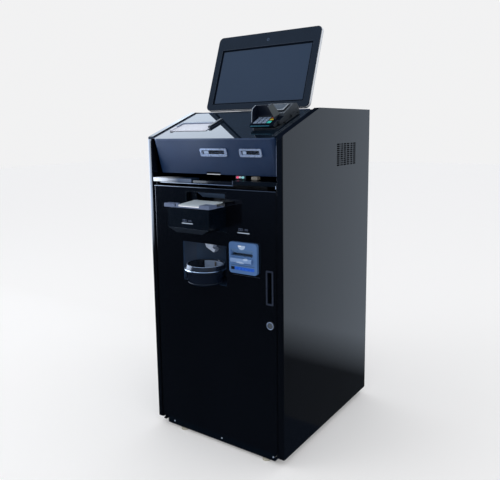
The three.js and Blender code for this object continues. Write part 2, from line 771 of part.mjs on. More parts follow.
function terminalBody() {
  const body = prismX(terminalProfile(0), TERMINAL_X);
  const narrowFront = block([KEYPAD_RIGHT, TERMINAL_X[1] + 1], [50, 84], [0, 60]);
  const seam = block([KEYPAD_RIGHT - 3, TERMINAL_X[1] + 1], [84, 87], [0, 60]);
  const wellX = (KEY_PITCH[0] * 4) / 2;
  const wellY = (KEY_PITCH[1] * 4) / 2;
  const centreX = KEY_FIRST[0] + KEY_PITCH[0] * 1.5;
  const centreY = KEY_FIRST[1] + KEY_PITCH[1] * 1.5;
  const well = onKeypad(block([-wellX, wellX], [-wellY, wellY], [-5, 6]), centreX, centreY);
  return cut(body, well, narrowFront, seam);
}

function keyCap([wide, deep, tall]) {
  const shape = roundedRect([-wide / 2, wide / 2], [-deep / 2, deep / 2], 1.6);
  return prismZ(shape, [1.2 - tall, 1.2], 1);
}

function terminalDisplay() {
  const angle = Math.atan2(10, 64);
  const glass = block([-33, 33], [-21, 21], [0, 1.8]);
  const middle = 152;
  return glass.rotateX(angle).translate(155, middle, 30.7 + (middle - 118) * Math.tan(angle));
}

// The privacy shield, open on top: a tall left cheek, a back wall and a right cheek that leans over the keys.
function terminalShield() {
  const outerLeft = 108.6;
  const wall = 2.4;
  const foot = 12;
  const top = 57;
  const leftCheek = prismX(
    softOutline([
      [67, foot, 0],
      [74, foot + 3, 2],
      [81, 34, 12],
      [95, top - 2, 8],
      [116, top, 0],
      [116, foot, 0],
    ]),
    [outerLeft, outerLeft + wall],
    4,
  );
  const backY = [116 - wall, 116];
  const backWall = hull(taperPoints(foot, [outerLeft, 184.4], backY, top, [outerLeft, 169], backY));
  const rightCheek = hull(taperPoints(foot, [182, 184.4], [90, 116], top + 4, [165.6, 168], [86, 116]));
  const envelope = prismX(terminalProfile(GAP), [TERMINAL_X[0] - GAP, TERMINAL_X[1] + GAP]);
  return cut(join(leftCheek, backWall, rightCheek), envelope);
}

// ---------------------------------------------------------------- monitor, in its own leaning frame

function monitorOutline(grow) {
  const half = MONITOR_WIDTH / 2 + grow;
  return roundedRect([-half, half], [-grow, MONITOR_HEIGHT + grow], MONITOR_CORNER + grow);
}

// A thin black plate with a sloping frame round its window, and a rib behind it that holds the screen.
function monitorBezel() {
  const plate = prismY(monitorOutline(0), [0, 3.2], 5);
  const rib = prismY(monitorOutline(-4), [3, 8], 5);
  const window = block([-SCREEN_HALF, SCREEN_HALF], [-1, 9], SCREEN_Z);
  const ring = (y, grow) => [-1, 1].flatMap((side) => {
    const x = side * (SCREEN_HALF + grow);
    return [[x, y, SCREEN_Z[0] - grow], [x, y, SCREEN_Z[1] + grow]];
  });
  const slope = hull([...ring(-0.1, SCREEN_FRAME), ...ring(2.4, 0)]);
  const seat = block([-179, 179], [4, 9], [16, 222]);
  return cut(join(plate, rib), window, slope, seat);
}

function monitorScreen() {
  return block([-178.4, 178.4], [4.4, 12], [16.6, 221.4]);
}

// The back shell: a bright rim round the bezel's edge, then a tapered housing with the hinge block.
function monitorRearCover() {
  const collar = prismY(monitorOutline(1), [3.6, 12], 5);
  const bezelSeat = prismY(monitorOutline(-3.6), [3, 8.4], 5);
  const ring = (y, half, z0, z1) => [[-half, y, z0], [half, y, z0], [half, y, z1], [-half, y, z1]];
  const taper = hull([...ring(11, 191, 8, 259), ...ring(28, 180, 24, 248), ...ring(42, 158, 36, 232)]);
  const pocket = block([-180, 180], [8, 30], [15, 223]);
  const hingeBlock = block([-30, 30], [41, 65], [34, 57]);
  const pinHole = prismX(circle(...MONITOR_PIVOT, 4.5), [-40, 40], 6);
  return cut(join(collar, taper, hingeBlock), bezelSeat, pocket, pinHole);
}

function monitorPivotInCabinet() {
  const pivot = new THREE.Vector3(0, ...MONITOR_PIVOT);
  pivot.applyAxisAngle(new THREE.Vector3(1, 0, 0), -MONITOR_LEAN);
  return [pivot.y + MONITOR_AT[1], pivot.z + MONITOR_AT[2]];
}

// The stand: a foot on the top plate and two ears with the pin that the monitor tilts on.
function monitorBracket() {
  const [y, z] = monitorPivotInCabinet();
  const footTop = 1055.4;
  const centreX = MONITOR_AT[0];
  const footOutline = roundedRect([centreX - 70, centreX + 70], [264, 372], 8);
  const foot = prismZ(footOutline, [TOP_PLATE_TOP + GAP, footTop], 3);
  const ears = [-1, 1].flatMap((side) => {
    const xs = mirrored(side, [31, 37]).map((x) => x + centreX);
    const web = outlineOf([
      [y - 20, footTop - 1],
      [y + 42, footTop - 1],
      [y + 10, z + 4],
      [y - 10, z + 4],
    ]);
    return [prismX(web, xs), prismX(circle(y, z, 11), xs, 8)];
  });
  return join(foot, ...ears, prismX(circle(y, z, 4), [centreX - 37, centreX + 37], 6));
}

// ---------------------------------------------------------------- assembly

const kiosk = new THREE.Group();
kiosk.name = "cash_kiosk";
const body = new THREE.Group();
body.position.y = -CENTRE_Y;
kiosk.add(body);

node(body, "base_plate", basePlate(), greySteel);
node(body, "plinth", plinth(), blackSatin);
for (const [end, feet] of [["front", FRONT_FEET], ["rear", REAR_FEET]]) {
  for (const [index, hand] of ["left", "right"].entries()) {
    node(body, `foot_${end}_${hand}`, levellingFoot().translate(feet.x[index], feet.y, 0), feltTan);
  }
}
node(body, "left_side_panel", sidePanel(-1), blackGloss);
node(body, "right_side_panel", cut(sidePanel(1), ...ventSlots()), blackGloss);
node(body, "rear_panel", rearPanel(), blackSatin);
node(body, "top_plate", topPlate(), blackSatin);
node(body, "front_rail", frontRail(), silver);
node(body, "equipment_rack", equipmentRack(), greySteel);
node(body, "banknote_recycler", banknoteRecycler(), darkPlastic);
node(body, "coin_changer", coinChanger(), greySteel);
node(body, "controller_box", controllerBox(), greySteel);
node(body, "inlet_panel", inletPanel(), blackSatin);
node(body, "fan_frame", fanFrame(), darkPlastic);
node(body, "fan_rotor", fanRotor(), darkPlastic);
node(body, "door_hinge_rod", doorHingeRod(), greySteel);
node(body, "monitor_bracket", monitorBracket(), blackSatin);

node(body, "door_panel", doorPanel(), blackGloss);
node(body, "note_hopper", noteHopper(), blackSatin);
node(body, "hopper_tray", hopperTray(), cream);
node(body, "tray_rail", trayRail(), silver);
node(body, "coin_recess", coinRecess(), blackSatin);
node(body, "coin_nozzle", coinNozzle(), silver);
node(body, "coin_cup", coinCup(), darkPlastic);
node(body, "note_bezel", noteBezel(), paleBlue);
node(body, "note_validator", noteValidator(), darkPlastic);
node(body, "door_handle", doorHandle(), greySteel);
node(body, "door_lock", doorLock(), silver);

node(body, "hood_shell", hoodShell(), navySatin);
node(body, "receipt_slot_bezel", slotBezel(RECEIPT_SLOT), silver);
node(body, "card_slot_bezel", slotBezel(CARD_SLOT), silver);
node(body, "receipt_printer", receiptPrinter(), darkPlastic);
node(body, "card_reader", cardReader(), darkPlastic);

const deck = new THREE.Group();
deck.position.z = DECK_Z;
deck.rotation.x = SLOPE;
body.add(deck);
node(deck, "deck_panel", deckPanel(), mirrorBlack);
node(deck, "reader_frame", readerFrame(), silver);
node(deck, "terminal_cradle", terminalCradle(), darkPlastic);
node(deck, "terminal_body", terminalBody(), darkPlastic);
node(deck, "terminal_display", terminalDisplay(), screenGlass);
node(deck, "terminal_shield", terminalShield(), blackSatin);

function addKey(name, column, row, material, size = KEY_SIZE) {
  const x = KEY_FIRST[0] + column * KEY_PITCH[0];
  const y = KEY_FIRST[1] + row * KEY_PITCH[1];
  node(deck, name, onKeypad(keyCap(size), x, y), material);
}

const digitRows = [
  ["star", "0", "hash"],
  ["7", "8", "9"],
  ["4", "5", "6"],
  ["1", "2", "3"],
];
digitRows.forEach((names, row) => {
  names.forEach((name, column) => addKey(`key_${name}`, column, row, keyLight));
});
addKey("key_enter", 3, 0.3, keyGreen, ENTER_KEY_SIZE);
addKey("key_clear", 3, 1.85, keyYellow);
addKey("key_cancel", 3, 3, keyRed);

const monitor = new THREE.Group();
monitor.position.set(...MONITOR_AT);
monitor.rotation.x = -MONITOR_LEAN;
body.add(monitor);
node(monitor, "monitor_bezel", monitorBezel(), blackGloss);
node(monitor, "monitor_screen", monitorScreen(), screenGlass);
node(monitor, "monitor_rear_cover", monitorRearCover(), silver);

export default kiosk;
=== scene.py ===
"""Looks of a self-service cash kiosk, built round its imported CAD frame. Metres, +Z up."""

import json
import math

import bmesh
import bpy
from mathutils import Matrix, Vector


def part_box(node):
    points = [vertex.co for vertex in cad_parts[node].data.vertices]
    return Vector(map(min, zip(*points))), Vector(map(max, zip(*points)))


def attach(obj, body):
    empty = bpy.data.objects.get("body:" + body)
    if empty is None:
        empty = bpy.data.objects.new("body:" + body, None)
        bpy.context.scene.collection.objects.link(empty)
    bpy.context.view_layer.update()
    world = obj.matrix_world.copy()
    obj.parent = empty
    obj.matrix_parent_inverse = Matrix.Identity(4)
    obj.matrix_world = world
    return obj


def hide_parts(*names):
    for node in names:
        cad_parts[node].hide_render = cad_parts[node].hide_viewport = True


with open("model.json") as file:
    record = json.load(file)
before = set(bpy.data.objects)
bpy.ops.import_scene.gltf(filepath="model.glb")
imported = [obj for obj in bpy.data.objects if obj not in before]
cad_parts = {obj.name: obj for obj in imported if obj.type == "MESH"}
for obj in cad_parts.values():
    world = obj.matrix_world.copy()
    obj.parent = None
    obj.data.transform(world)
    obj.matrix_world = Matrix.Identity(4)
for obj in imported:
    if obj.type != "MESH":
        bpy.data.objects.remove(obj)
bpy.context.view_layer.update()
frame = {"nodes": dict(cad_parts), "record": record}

NODES = frame["nodes"]
RECORD = frame["record"]
BODY_OF = {n: body for body, members in RECORD["behaviour"]["bodies"].items() for n in members}
SLOT_OF = {part["node"]: part["material_slot"] for part in RECORD["subparts"]}

MM = 0.001
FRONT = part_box("left_side_panel")[0].y
SLOPE = math.atan2(80.0, 222.0)
DECK_Z = 971.0
FASCIA_BOTTOM = 862.0
FASCIA_RECEDES = 32.0
FASCIA_LEAN = math.atan2(FASCIA_RECEDES, DECK_Z - FASCIA_BOTTOM)
KEYPAD_SLOPE = math.atan2(5.0, 42.0)
MONITOR_LEAN = math.radians(20.0)
BEZEL_THICK = 3.2


# ---------------------------------------------------------------- places, all in millimetres

def at(x, y, z):
    """A point given from the middle of the cabinet's front edge, on the floor."""
    return Vector((x * MM, FRONT + y * MM, z * MM))


def span(node):
    """A CAD node's lowest and highest corners, in the millimetres that at() takes."""
    return [((p.x / MM), (p.y - FRONT) / MM, p.z / MM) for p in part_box(node)]


def on_front(x, z, out):
    """A point on the front plane, pushed out towards the user."""
    return at(x, -out, z)


def on_back(x, z, out):
    """A point on the back panel, pushed out behind it."""
    return at(x, span("rear_panel")[1][1] + out, z)


def on_deck(x, up, out):
    """A point on the sloping deck: along X, up the slope, and out along its normal."""
    y = up * math.cos(SLOPE) - out * math.sin(SLOPE)
    return at(x, y, DECK_Z + up * math.sin(SLOPE) + out * math.cos(SLOPE))


def on_fascia(x, z, out):
    """A point on the hood's leaning front."""
    y = FASCIA_RECEDES * (DECK_Z - z) / (DECK_Z - FASCIA_BOTTOM)
    return at(x, y - out * math.cos(FASCIA_LEAN), z - out * math.sin(FASCIA_LEAN))


def on_monitor(x, up, out):
    """A point on the monitor's front face, from the middle of its lower edge."""
    low, high = span("monitor_bezel")
    lean_y, lean_z = math.sin(MONITOR_LEAN), math.cos(MONITOR_LEAN)
    y = low[1] + up * lean_y - out * lean_z
    return at((low[0] + high[0]) / 2 + x, y, low[2] + BEZEL_THICK * lean_y + up * lean_z + out * lean_y)


def turned_place(centre, axis):
    """A place function whose third number runs along an axis through a centre."""
    turn = Vector(axis).to_track_quat("Z", "Y").to_matrix()
    return lambda u, v, w: centre + turn @ Vector((u * MM, v * MM, w * MM))


# ---------------------------------------------------------------- camera

CAMERA_AT = Vector((1.0473, -1.5955, 0.9966))
CAMERA_FORWARD = Vector((-0.57739, 0.80123, -0.15699))
CAMERA_DOWN = Vector((0.0771, -0.1379, -0.9874))
CAMERA_LENS = 41.08
CAMERA_SENSOR = 36.0
CAMERA_SHIFT = (0.0329, -0.0407)


def add_camera():
    data = bpy.data.cameras.new("camera")
    data.lens = CAMERA_LENS
    data.sensor_width = CAMERA_SENSOR
    data.shift_x, data.shift_y = CAMERA_SHIFT
    camera = bpy.data.objects.new("camera", data)
    bpy.context.scene.collection.objects.link(camera)
    forward = CAMERA_FORWARD.normalized()
    right = CAMERA_DOWN.cross(forward).normalized()
    up = right.cross(forward)
    turn = Matrix((right, up, -forward)).transposed()
    camera.matrix_world = Matrix.Translation(CAMERA_AT) @ turn.to_4x4()
    bpy.context.scene.camera = camera
    bpy.context.scene.view_settings.view_transform = "Standard"


# ---------------------------------------------------------------- material nodes

def new_material(name):
    material = bpy.data.materials.new(name)
    material.use_nodes = True
    tree = material.node_tree
    shader = tree.nodes["Principled BSDF"]
    coords = tree.nodes.new("ShaderNodeTexCoord")
    return material, tree, shader, coords.outputs["Object"]


def set_inputs(tree, node, inputs):
    """Gives a node's inputs their numbers and colours, or links them to other nodes' outputs."""
    for name, value in inputs.items():
        if isinstance(value, bpy.types.NodeSocket):
            tree.links.new(value, node.inputs[name])
        else:
            node.inputs[name].default_value = value


def new_node(tree, kind, inputs):
    """A new shader node of a kind, with these inputs."""
    node = tree.nodes.new("ShaderNode" + kind)
    set_inputs(tree, node, inputs)
    return node


def scaled(tree, vector, scale):
    return new_node(tree, "Mapping", {"Scale": scale, "Vector": vector}).outputs["Vector"]


def noise(tree, vector, scale, detail=3.0):
    inputs = {"Scale": scale, "Detail": detail, "Roughness": 0.5, "Vector": vector}
    return new_node(tree, "TexNoise", inputs).outputs["Fac"]


def spread(tree, value, low, high, from_low=0.3, from_high=0.7):
    """Maps a value that runs between two numbers onto the range from low to high."""
    inputs = {"From Min": from_low, "From Max": from_high, "To Min": low, "To Max": high, "Value": value}
    return new_node(tree, "MapRange", inputs).outputs["Result"]


def blended(tree, value, first, second):
    node = tree.nodes.new("ShaderNodeMix")
    node.data_type = "RGBA"
    set_inputs(tree, node, {"A": (*first, 1.0), "B": (*second, 1.0), "Factor": value})
    return node.outputs["Result"]


def surface(name, dark, light, rough, metal=0.0, blotch=9.0, grain=900.0, depth=0.00002,
            stretch=(1.0, 1.0, 1.0), level=0.5, ior=1.5):
    """A surface with a slow colour drift, a roughness that wanders and a fine grain in its relief."""
    material, tree, shader, vector = new_material(name)
    drift = spread(tree, noise(tree, vector, blotch, 4.0), 0.0, 1.0)
    streaks = noise(tree, scaled(tree, vector, stretch), grain * 0.12, 4.0)
    relief = noise(tree, scaled(tree, vector, stretch), grain, 2.0)
    bump = new_node(tree, "Bump", {"Strength": 1.0, "Distance": depth, "Height": relief})
    set_inputs(tree, shader, {
        "Base Color": blended(tree, drift, dark, light), "Roughness": spread(tree, streaks, *rough),
        "Normal": bump.outputs["Normal"], "Metallic": metal, "Specular IOR Level": level, "IOR": ior})
    return material


def surfaces(prefix, rows):
    """Surfaces by name. A row holds a name, two colours, a range of roughness and the options it needs."""
    return {row[0]: surface(prefix + row[0], *row[1:4], **dict(row[4:])) for row in rows}


def glowing(name, colour, strength):
    """A lit plastic window: its light ripples slightly under a satin surface."""
    material, tree, shader, vector = new_material(name)
    ripple = noise(tree, vector, 160.0, 2.0)
    dim = tuple(c * 0.7 for c in colour)
    set_inputs(tree, shader, {
        "Emission Color": blended(tree, spread(tree, ripple, 0.0, 1.0), dim, colour),
        "Emission Strength": strength, "Base Color": (0.02, 0.02, 0.03, 1.0),
        "Roughness": spread(tree, ripple, 0.2, 0.3)})
    return material


GLOSS_BLACK = ((0.0011, 0.0014, 0.0024), (0.0017, 0.0022, 0.0037))
SOFT_NAVY = ((0.0060, 0.0215, 0.066), (0.0080, 0.0265, 0.078))

MATERIALS = surfaces("", (
    ("cabinet_gloss", *GLOSS_BLACK, (0.05, 0.10), ("blotch", 3.0), ("grain", 420.0), ("depth", 0.000012)),
    ("black_satin", (0.0045, 0.006, 0.0095), (0.008, 0.0105, 0.016), (0.28, 0.40)),
    ("zinc_steel", (0.42, 0.44, 0.46), (0.56, 0.58, 0.60), (0.30, 0.45), ("metal", 1.0), ("blotch", 60.0)),
    ("foot_felt", (0.34, 0.33, 0.28), (0.44, 0.43, 0.37), (0.85, 0.95), ("grain", 2500.0),
     ("depth", 0.0002)),
    ("rail_silver", (0.55, 0.62, 0.74), (0.66, 0.74, 0.86), (0.16, 0.26), ("metal", 0.9),
     ("stretch", (0.05, 1.0, 1.0)), ("grain", 1600.0)),
    ("inner_plastic", (0.012, 0.013, 0.015), (0.02, 0.021, 0.024), (0.45, 0.6), ("depth", 0.00005)),
    ("tray_cream", (0.36, 0.43, 0.49), (0.48, 0.54, 0.57), (0.35, 0.5)),
    ("bright_metal", (0.26, 0.34, 0.52), (0.34, 0.43, 0.62), (0.22, 0.34), ("metal", 0.35)),
    ("cup_dark", (0.003, 0.006, 0.014), (0.005, 0.009, 0.020), (0.16, 0.24), ("metal", 0.1)),
    ("note_bezel_blue", (0.064, 0.138, 0.31), (0.090, 0.178, 0.38), (0.10, 0.18)),
    ("handle_grey", (0.022, 0.030, 0.052), (0.034, 0.044, 0.072), (0.25, 0.35), ("metal", 0.4)),
    ("lock_nickel", (0.12, 0.14, 0.16), (0.18, 0.20, 0.22), (0.2, 0.3), ("metal", 0.45), ("blotch", 120.0)),
    ("hood_navy", *SOFT_NAVY, (0.36, 0.46), ("grain", 700.0), ("depth", 0.00003), ("level", 0.35)),
    ("deck_mirror", (0.004, 0.008, 0.015), (0.006, 0.012, 0.021), (0.01, 0.03), ("blotch", 14.0),
     ("depth", 0.000002), ("ior", 1.6)),
    ("terminal_plastic", (0.012, 0.016, 0.021), (0.018, 0.023, 0.029), (0.38, 0.5), ("grain", 1800.0),
     ("depth", 0.00005)),
    ("display_glass", (0.04, 0.065, 0.10), (0.055, 0.085, 0.125), (0.05, 0.09)),
    ("key_light", (0.17, 0.24, 0.36), (0.24, 0.31, 0.43), (0.4, 0.5)),
    ("key_green", (0.0, 0.42, 0.36), (0.01, 0.52, 0.44), (0.4, 0.5)),
    ("key_yellow", (0.55, 0.42, 0.02), (0.65, 0.50, 0.04), (0.4, 0.5)),
    ("key_red", (0.42, 0.03, 0.02), (0.52, 0.05, 0.04), (0.4, 0.5)),
    ("monitor_black", (0.0025, 0.0055, 0.012), (0.0045, 0.0085, 0.017), (0.05, 0.09), ("blotch", 14.0),
     ("depth", 0.000008), ("level", 0.3)),
    ("monitor_glass", (0.010, 0.0215, 0.046), (0.0125, 0.025, 0.052), (0.12, 0.18), ("blotch", 3.0)),
    ("monitor_silver", (0.66, 0.69, 0.74), (0.76, 0.79, 0.83), (0.22, 0.32)),
))
TRIM = surfaces("trim_", (
    ("chrome", (0.66, 0.72, 0.80), (0.78, 0.84, 0.92), (0.08, 0.16), ("metal", 1.0)),
    ("white", (0.74, 0.78, 0.86), (0.84, 0.87, 0.93), (0.3, 0.4)),
    ("paper", (0.58, 0.61, 0.70), (0.66, 0.69, 0.78), (0.5, 0.6), ("level", 0.1)),
    ("pale", (0.36, 0.44, 0.56), (0.46, 0.54, 0.66), (0.3, 0.4)),
    ("grey_green", (0.034, 0.042, 0.044), (0.046, 0.055, 0.057), (0.4, 0.5)),
    ("slate_dark", (0.007, 0.012, 0.020), (0.010, 0.016, 0.026), (0.3, 0.42)),
    ("slate", (0.018, 0.026, 0.040), (0.026, 0.036, 0.054), (0.3, 0.42)),
    ("guide_dark", (0.080, 0.110, 0.190), (0.110, 0.145, 0.240), (0.30, 0.42)),
    ("shield", (0.0022, 0.0046, 0.012), (0.0036, 0.0070, 0.017), (0.3, 0.4)),
    ("small_screen", (0.020, 0.034, 0.054), (0.030, 0.048, 0.072), (0.35, 0.45), ("level", 0.2)),
    ("bezel_mid", (0.150, 0.245, 0.46), (0.20, 0.31, 0.54), (0.12, 0.2)),
    ("bezel_pale", (0.30, 0.42, 0.62), (0.40, 0.52, 0.72), (0.12, 0.2)),
    ("bezel_shadow", (0.080, 0.160, 0.310), (0.105, 0.200, 0.380), (0.25, 0.35)),
    # A lighter navy, used as a painted highlight on the fascia's top lip and the deck's front faces.
    ("navy_painted_highlight", (0.020, 0.043, 0.100), (0.028, 0.055, 0.122), (0.30, 0.42)),
    ("niche", (0.028, 0.056, 0.114), (0.042, 0.080, 0.150), (0.30, 0.42)),
    # Painted light for the lit left wall of the coin niche.
    ("niche_painted_light", (0.036, 0.056, 0.098), (0.050, 0.074, 0.124), (0.35, 0.45)),
    # A pale white-blue, a painted reflection for the chrome coin nozzle.
    ("nozzle", (0.46, 0.56, 0.74), (0.56, 0.66, 0.84), (0.25, 0.35)),
    # A lighter grey-blue, painted light on the hopper mouth's sloping roof.
    ("lit_deflector", (0.040, 0.066, 0.112), (0.056, 0.086, 0.140), (0.3, 0.42)),
    ("dull", (0.0030, 0.0050, 0.0100), (0.0046, 0.0072, 0.0140), (0.55, 0.7), ("level", 0.0)),
    ("guide", (0.085, 0.115, 0.195), (0.115, 0.150, 0.245), (0.30, 0.42)),
    # Pale blue: trim on the rail and the slots, and painted light on the coin cup's brim and inner wall.
    ("lining", (0.24, 0.33, 0.50), (0.32, 0.42, 0.60), (0.25, 0.35)),
    ("hopper", (0.0007, 0.0022, 0.0050), (0.0014, 0.0034, 0.0070), (0.12, 0.20), ("blotch", 12.0)),
    ("gloss", (0.0016, 0.003, 0.006), (0.003, 0.005, 0.010), (0.10, 0.18), ("blotch", 12.0)),
    # Near-black painted shade, for the notch under the fascia, the slot throats and the screen's inner edge.
    ("painted_shade_black", (0.0006, 0.0008, 0.0012), (0.0012, 0.0015, 0.002), (0.6, 0.8), ("level", 0.1)),
    ("beige", (0.17, 0.155, 0.13), (0.23, 0.21, 0.18), (0.5, 0.6), ("blotch", 90.0)),
    ("teal", (0.024, 0.150, 0.230), (0.036, 0.200, 0.290), (0.25, 0.35)),
))
for lit_name, lit_colour, lit_strength in (
        ("blue_lit", (0.0, 0.085, 0.52), 1.0),
        ("red_lit", (1.0, 0.10, 0.22), 0.9),
        ("cyan_lit", (0.35, 0.85, 0.90), 0.7)):
    TRIM[lit_name] = glowing("trim_" + lit_name, lit_colour, lit_strength)
TRIM |= surfaces("trim_", (
    ("lens", (0.004, 0.006, 0.012), (0.010, 0.014, 0.026), (0.02, 0.05), ("blotch", 400.0)),
))


# ---------------------------------------------------------------- mesh helpers

def mesh_object(name, bm, material, body, slot, smooth_deg=38.0):
    """Turns a bmesh into a finished piece: flat faces stay flat, rounded edges shade smoothly."""
    limit = math.radians(smooth_deg)
    for face in bm.faces:
        face.smooth = True
    for edge in bm.edges:
        edge.smooth = len(edge.link_faces) == 2 and edge.calc_face_angle(0.0) < limit
    mesh = bpy.data.meshes.new(name)
    bm.to_mesh(mesh)
    bm.free()
    piece = bpy.data.objects.new(name, mesh)
    bpy.context.scene.collection.objects.link(piece)
    mesh.materials.append(material)
    weighted = piece.modifiers.new("flat_faces", "WEIGHTED_NORMAL")
    weighted.keep_sharp = True
    weighted.weight = 100
    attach(piece, body)
    return piece


def rounded_edges(bm, edges, width, segments=2):
    bmesh.ops.bevel(bm, geom=edges, offset=width * MM, segments=segments, profile=0.5, affect="EDGES",
                    clamp_overlap=True)


def refined(node, width, material=None, cuts=()):
    """A copy of a CAD solid with its flat faces merged and its edges rounded by a width in millimetres.

    Cuts are planes along which faces are split, so that each side can have its own colour."""
    bm = bmesh.new()
    bm.from_mesh(NODES[node].data)
    for layer in list(bm.loops.layers.uv):
        bm.loops.layers.uv.remove(layer)
    bmesh.ops.remove_doubles(bm, verts=bm.verts, dist=2e-6)
    bmesh.ops.dissolve_limit(bm, angle_limit=math.radians(0.4), verts=bm.verts, edges=bm.edges)
    limit = math.radians(30.0)
    edges = [e for e in bm.edges if len(e.link_faces) == 2 and e.calc_face_angle(0.0) > limit]
    rounded_edges(bm, edges, width)
    for point, normal in cuts:
        geometry = list(bm.verts) + list(bm.edges) + list(bm.faces)
        bmesh.ops.bisect_plane(bm, geom=geometry, plane_co=point, plane_no=normal)
    slot = SLOT_OF[node]
    piece = mesh_object(node + "_skin", bm, material or MATERIALS[slot], BODY_OF[node], slot)
    if "custom_normal" in piece.data.attributes:
        piece.data.attributes.remove(piece.data.attributes["custom_normal"])
    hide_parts(node)


def soft_rect(u0, u1, v0, v1, radius, steps=5):
    """The outline of a rectangle with round corners, anticlockwise."""
    points = []
    for u, v, start in ((u1, v0, -90), (u1, v1, 0), (u0, v1, 90), (u0, v0, 180)):
        cu = u - radius if u == u1 else u + radius
        cv = v - radius if v == v1 else v + radius
        for step in range(steps + 1):
            angle = math.radians(start + 90 * step / steps)
            points.append((cu + radius * math.cos(angle), cv + radius * math.sin(angle)))
    return points


def round_outline(radius, steps=24, centre=(0.0, 0.0), start=0.0, sweep=360.0):
    """Points on an arc. A part of a circle includes both its ends."""
    count = steps if sweep >= 360.0 else steps + 1
    angles = [math.radians(start + sweep * i / steps) for i in range(count)]
    return [(centre[0] + radius * math.cos(a), centre[1] + radius * math.sin(a)) for a in angles]


def lofted(point_rows):
    """A bmesh through rows of points, with a face at either end."""
    bm = bmesh.new()
    rows = [[bm.verts.new(point) for point in row] for row in point_rows]
    count = len(rows[0])
    for one, two in zip(rows, rows[1:]):
        for i in range(count):
            j = (i + 1) % count
            bm.faces.new((one[i], one[j], two[j], two[i]))
    bm.faces.new(rows[0][::-1])
    bm.faces.new(rows[-1])
    bmesh.ops.recalc_face_normals(bm, faces=bm.faces)
    return bm


def plate(name, base, roof, material, body, slot, soft, steps):
    """A solid between two rows of points, with the rim of the second one rounded."""
    bm = lofted((base, roof))
    if soft:
        bm.faces.ensure_lookup_table()
        rounded_edges(bm, list(bm.faces[-1].edges), soft, steps)
    return mesh_object(name, bm, material, body, slot)


def prism(name, outline, place, low, high, material, body, slot, soft=0.25, steps=2):
    """Pushes an outline from low to high, and rounds the rim of its high face."""
    base = [place(u, v, low) for u, v in outline]
    roof = [place(u, v, high) for u, v in outline]
    return plate(name, base, roof, material, body, slot, soft, steps)


def ring(name, outer, inner, place, low, high, material, body, slot, soft=0.25, steps=2):
    """A frame between two outlines with the same number of points."""
    bm = bmesh.new()
    rows = [[bm.verts.new(place(u, v, w)) for u, v in line]
            for line, w in ((outer, low), (outer, high), (inner, high), (inner, low))]
    count = len(outer)
    rims = []
    for a, b in ((0, 1), (1, 2), (2, 3), (3, 0)):
        for i in range(count):
            j = (i + 1) % count
            face = bm.faces.new((rows[a][i], rows[a][j], rows[b][j], rows[b][i]))
            if a == 1:
                rims.append(face)
    bmesh.ops.recalc_face_normals(bm, faces=bm.faces)
    if soft:
        keep = set(rims)
        edges = {e for f in rims for e in f.edges if sum(g in keep for g in e.link_faces) == 1}
        rounded_edges(bm, list(edges), soft, steps)
    return mesh_object(name, bm, material, body, slot)


def turned(name, profile, place, material, body, slot, segments, start=0.0, sweep=360.0):
    """A closed (radius, height) profile turned about its axis. A partial turn is capped at both ends."""
    bm = bmesh.new()
    whole = sweep >= 360.0
    count = segments if whole else segments + 1
    spokes = []
    for i in range(count):
        angle = math.radians(start + sweep * i / segments)
        spokes.append([bm.verts.new(place(r * math.cos(angle), r * math.sin(angle), h)) for r, h in profile])
    for i in range(segments):
        one, two = spokes[i], spokes[(i + 1) % count]
        for k in range(len(profile)):
            m = (k + 1) % len(profile)
            bm.faces.new((one[k], two[k], two[m], one[m]))
    if not whole:
        bm.faces.new(spokes[0])
        bm.faces.new(spokes[-1][::-1])
    bmesh.ops.remove_doubles(bm, verts=bm.verts, dist=1e-7)
    bmesh.ops.dissolve_degenerate(bm, edges=bm.edges, dist=1e-8)
    bmesh.ops.recalc_face_normals(bm, faces=bm.faces)
    return mesh_object(name, bm, material, body, slot)


def slab(name, corners, thick, material, body, slot, soft=0.2):
    """A thin plate whose front face has the given corners, thickened behind it."""
    normal = (corners[1] - corners[0]).cross(corners[2] - corners[0]).normalized() * thick * MM
    plate(name, [c - normal for c in corners], corners, material, body, slot, soft, 2)


def screw(name, centre, axis, radius, material=MATERIALS["zinc_steel"]):
    """A pan-head screw with a round socket, on the cabinet."""
    place = turned_place(centre, axis)
    tall = radius * 0.5
    socket = radius * 0.42
    profile = [(radius, 0.0), (radius, tall * 0.45), (radius * 0.82, tall * 0.9), (radius * 0.6, tall),
               (socket, tall), (socket, tall * 0.3), (0.0, tall * 0.2), (0.0, -0.4), (radius * 0.5, -0.4)]
    turned(name, profile, place, material, "cabinet", "zinc_steel", 18)


def strip(name, low, high, place, material, body, slot, radius=0.5, depth=(0.0, 0.6), soft=0.2):
    """A small raised bar with round corners, from its low to its high corner."""
    outline = soft_rect(low[0], high[0], low[1], high[1], radius, 3)
    prism(name, outline, place, *depth, material, body, slot, soft)


# ---------------------------------------------------------------- cabinet

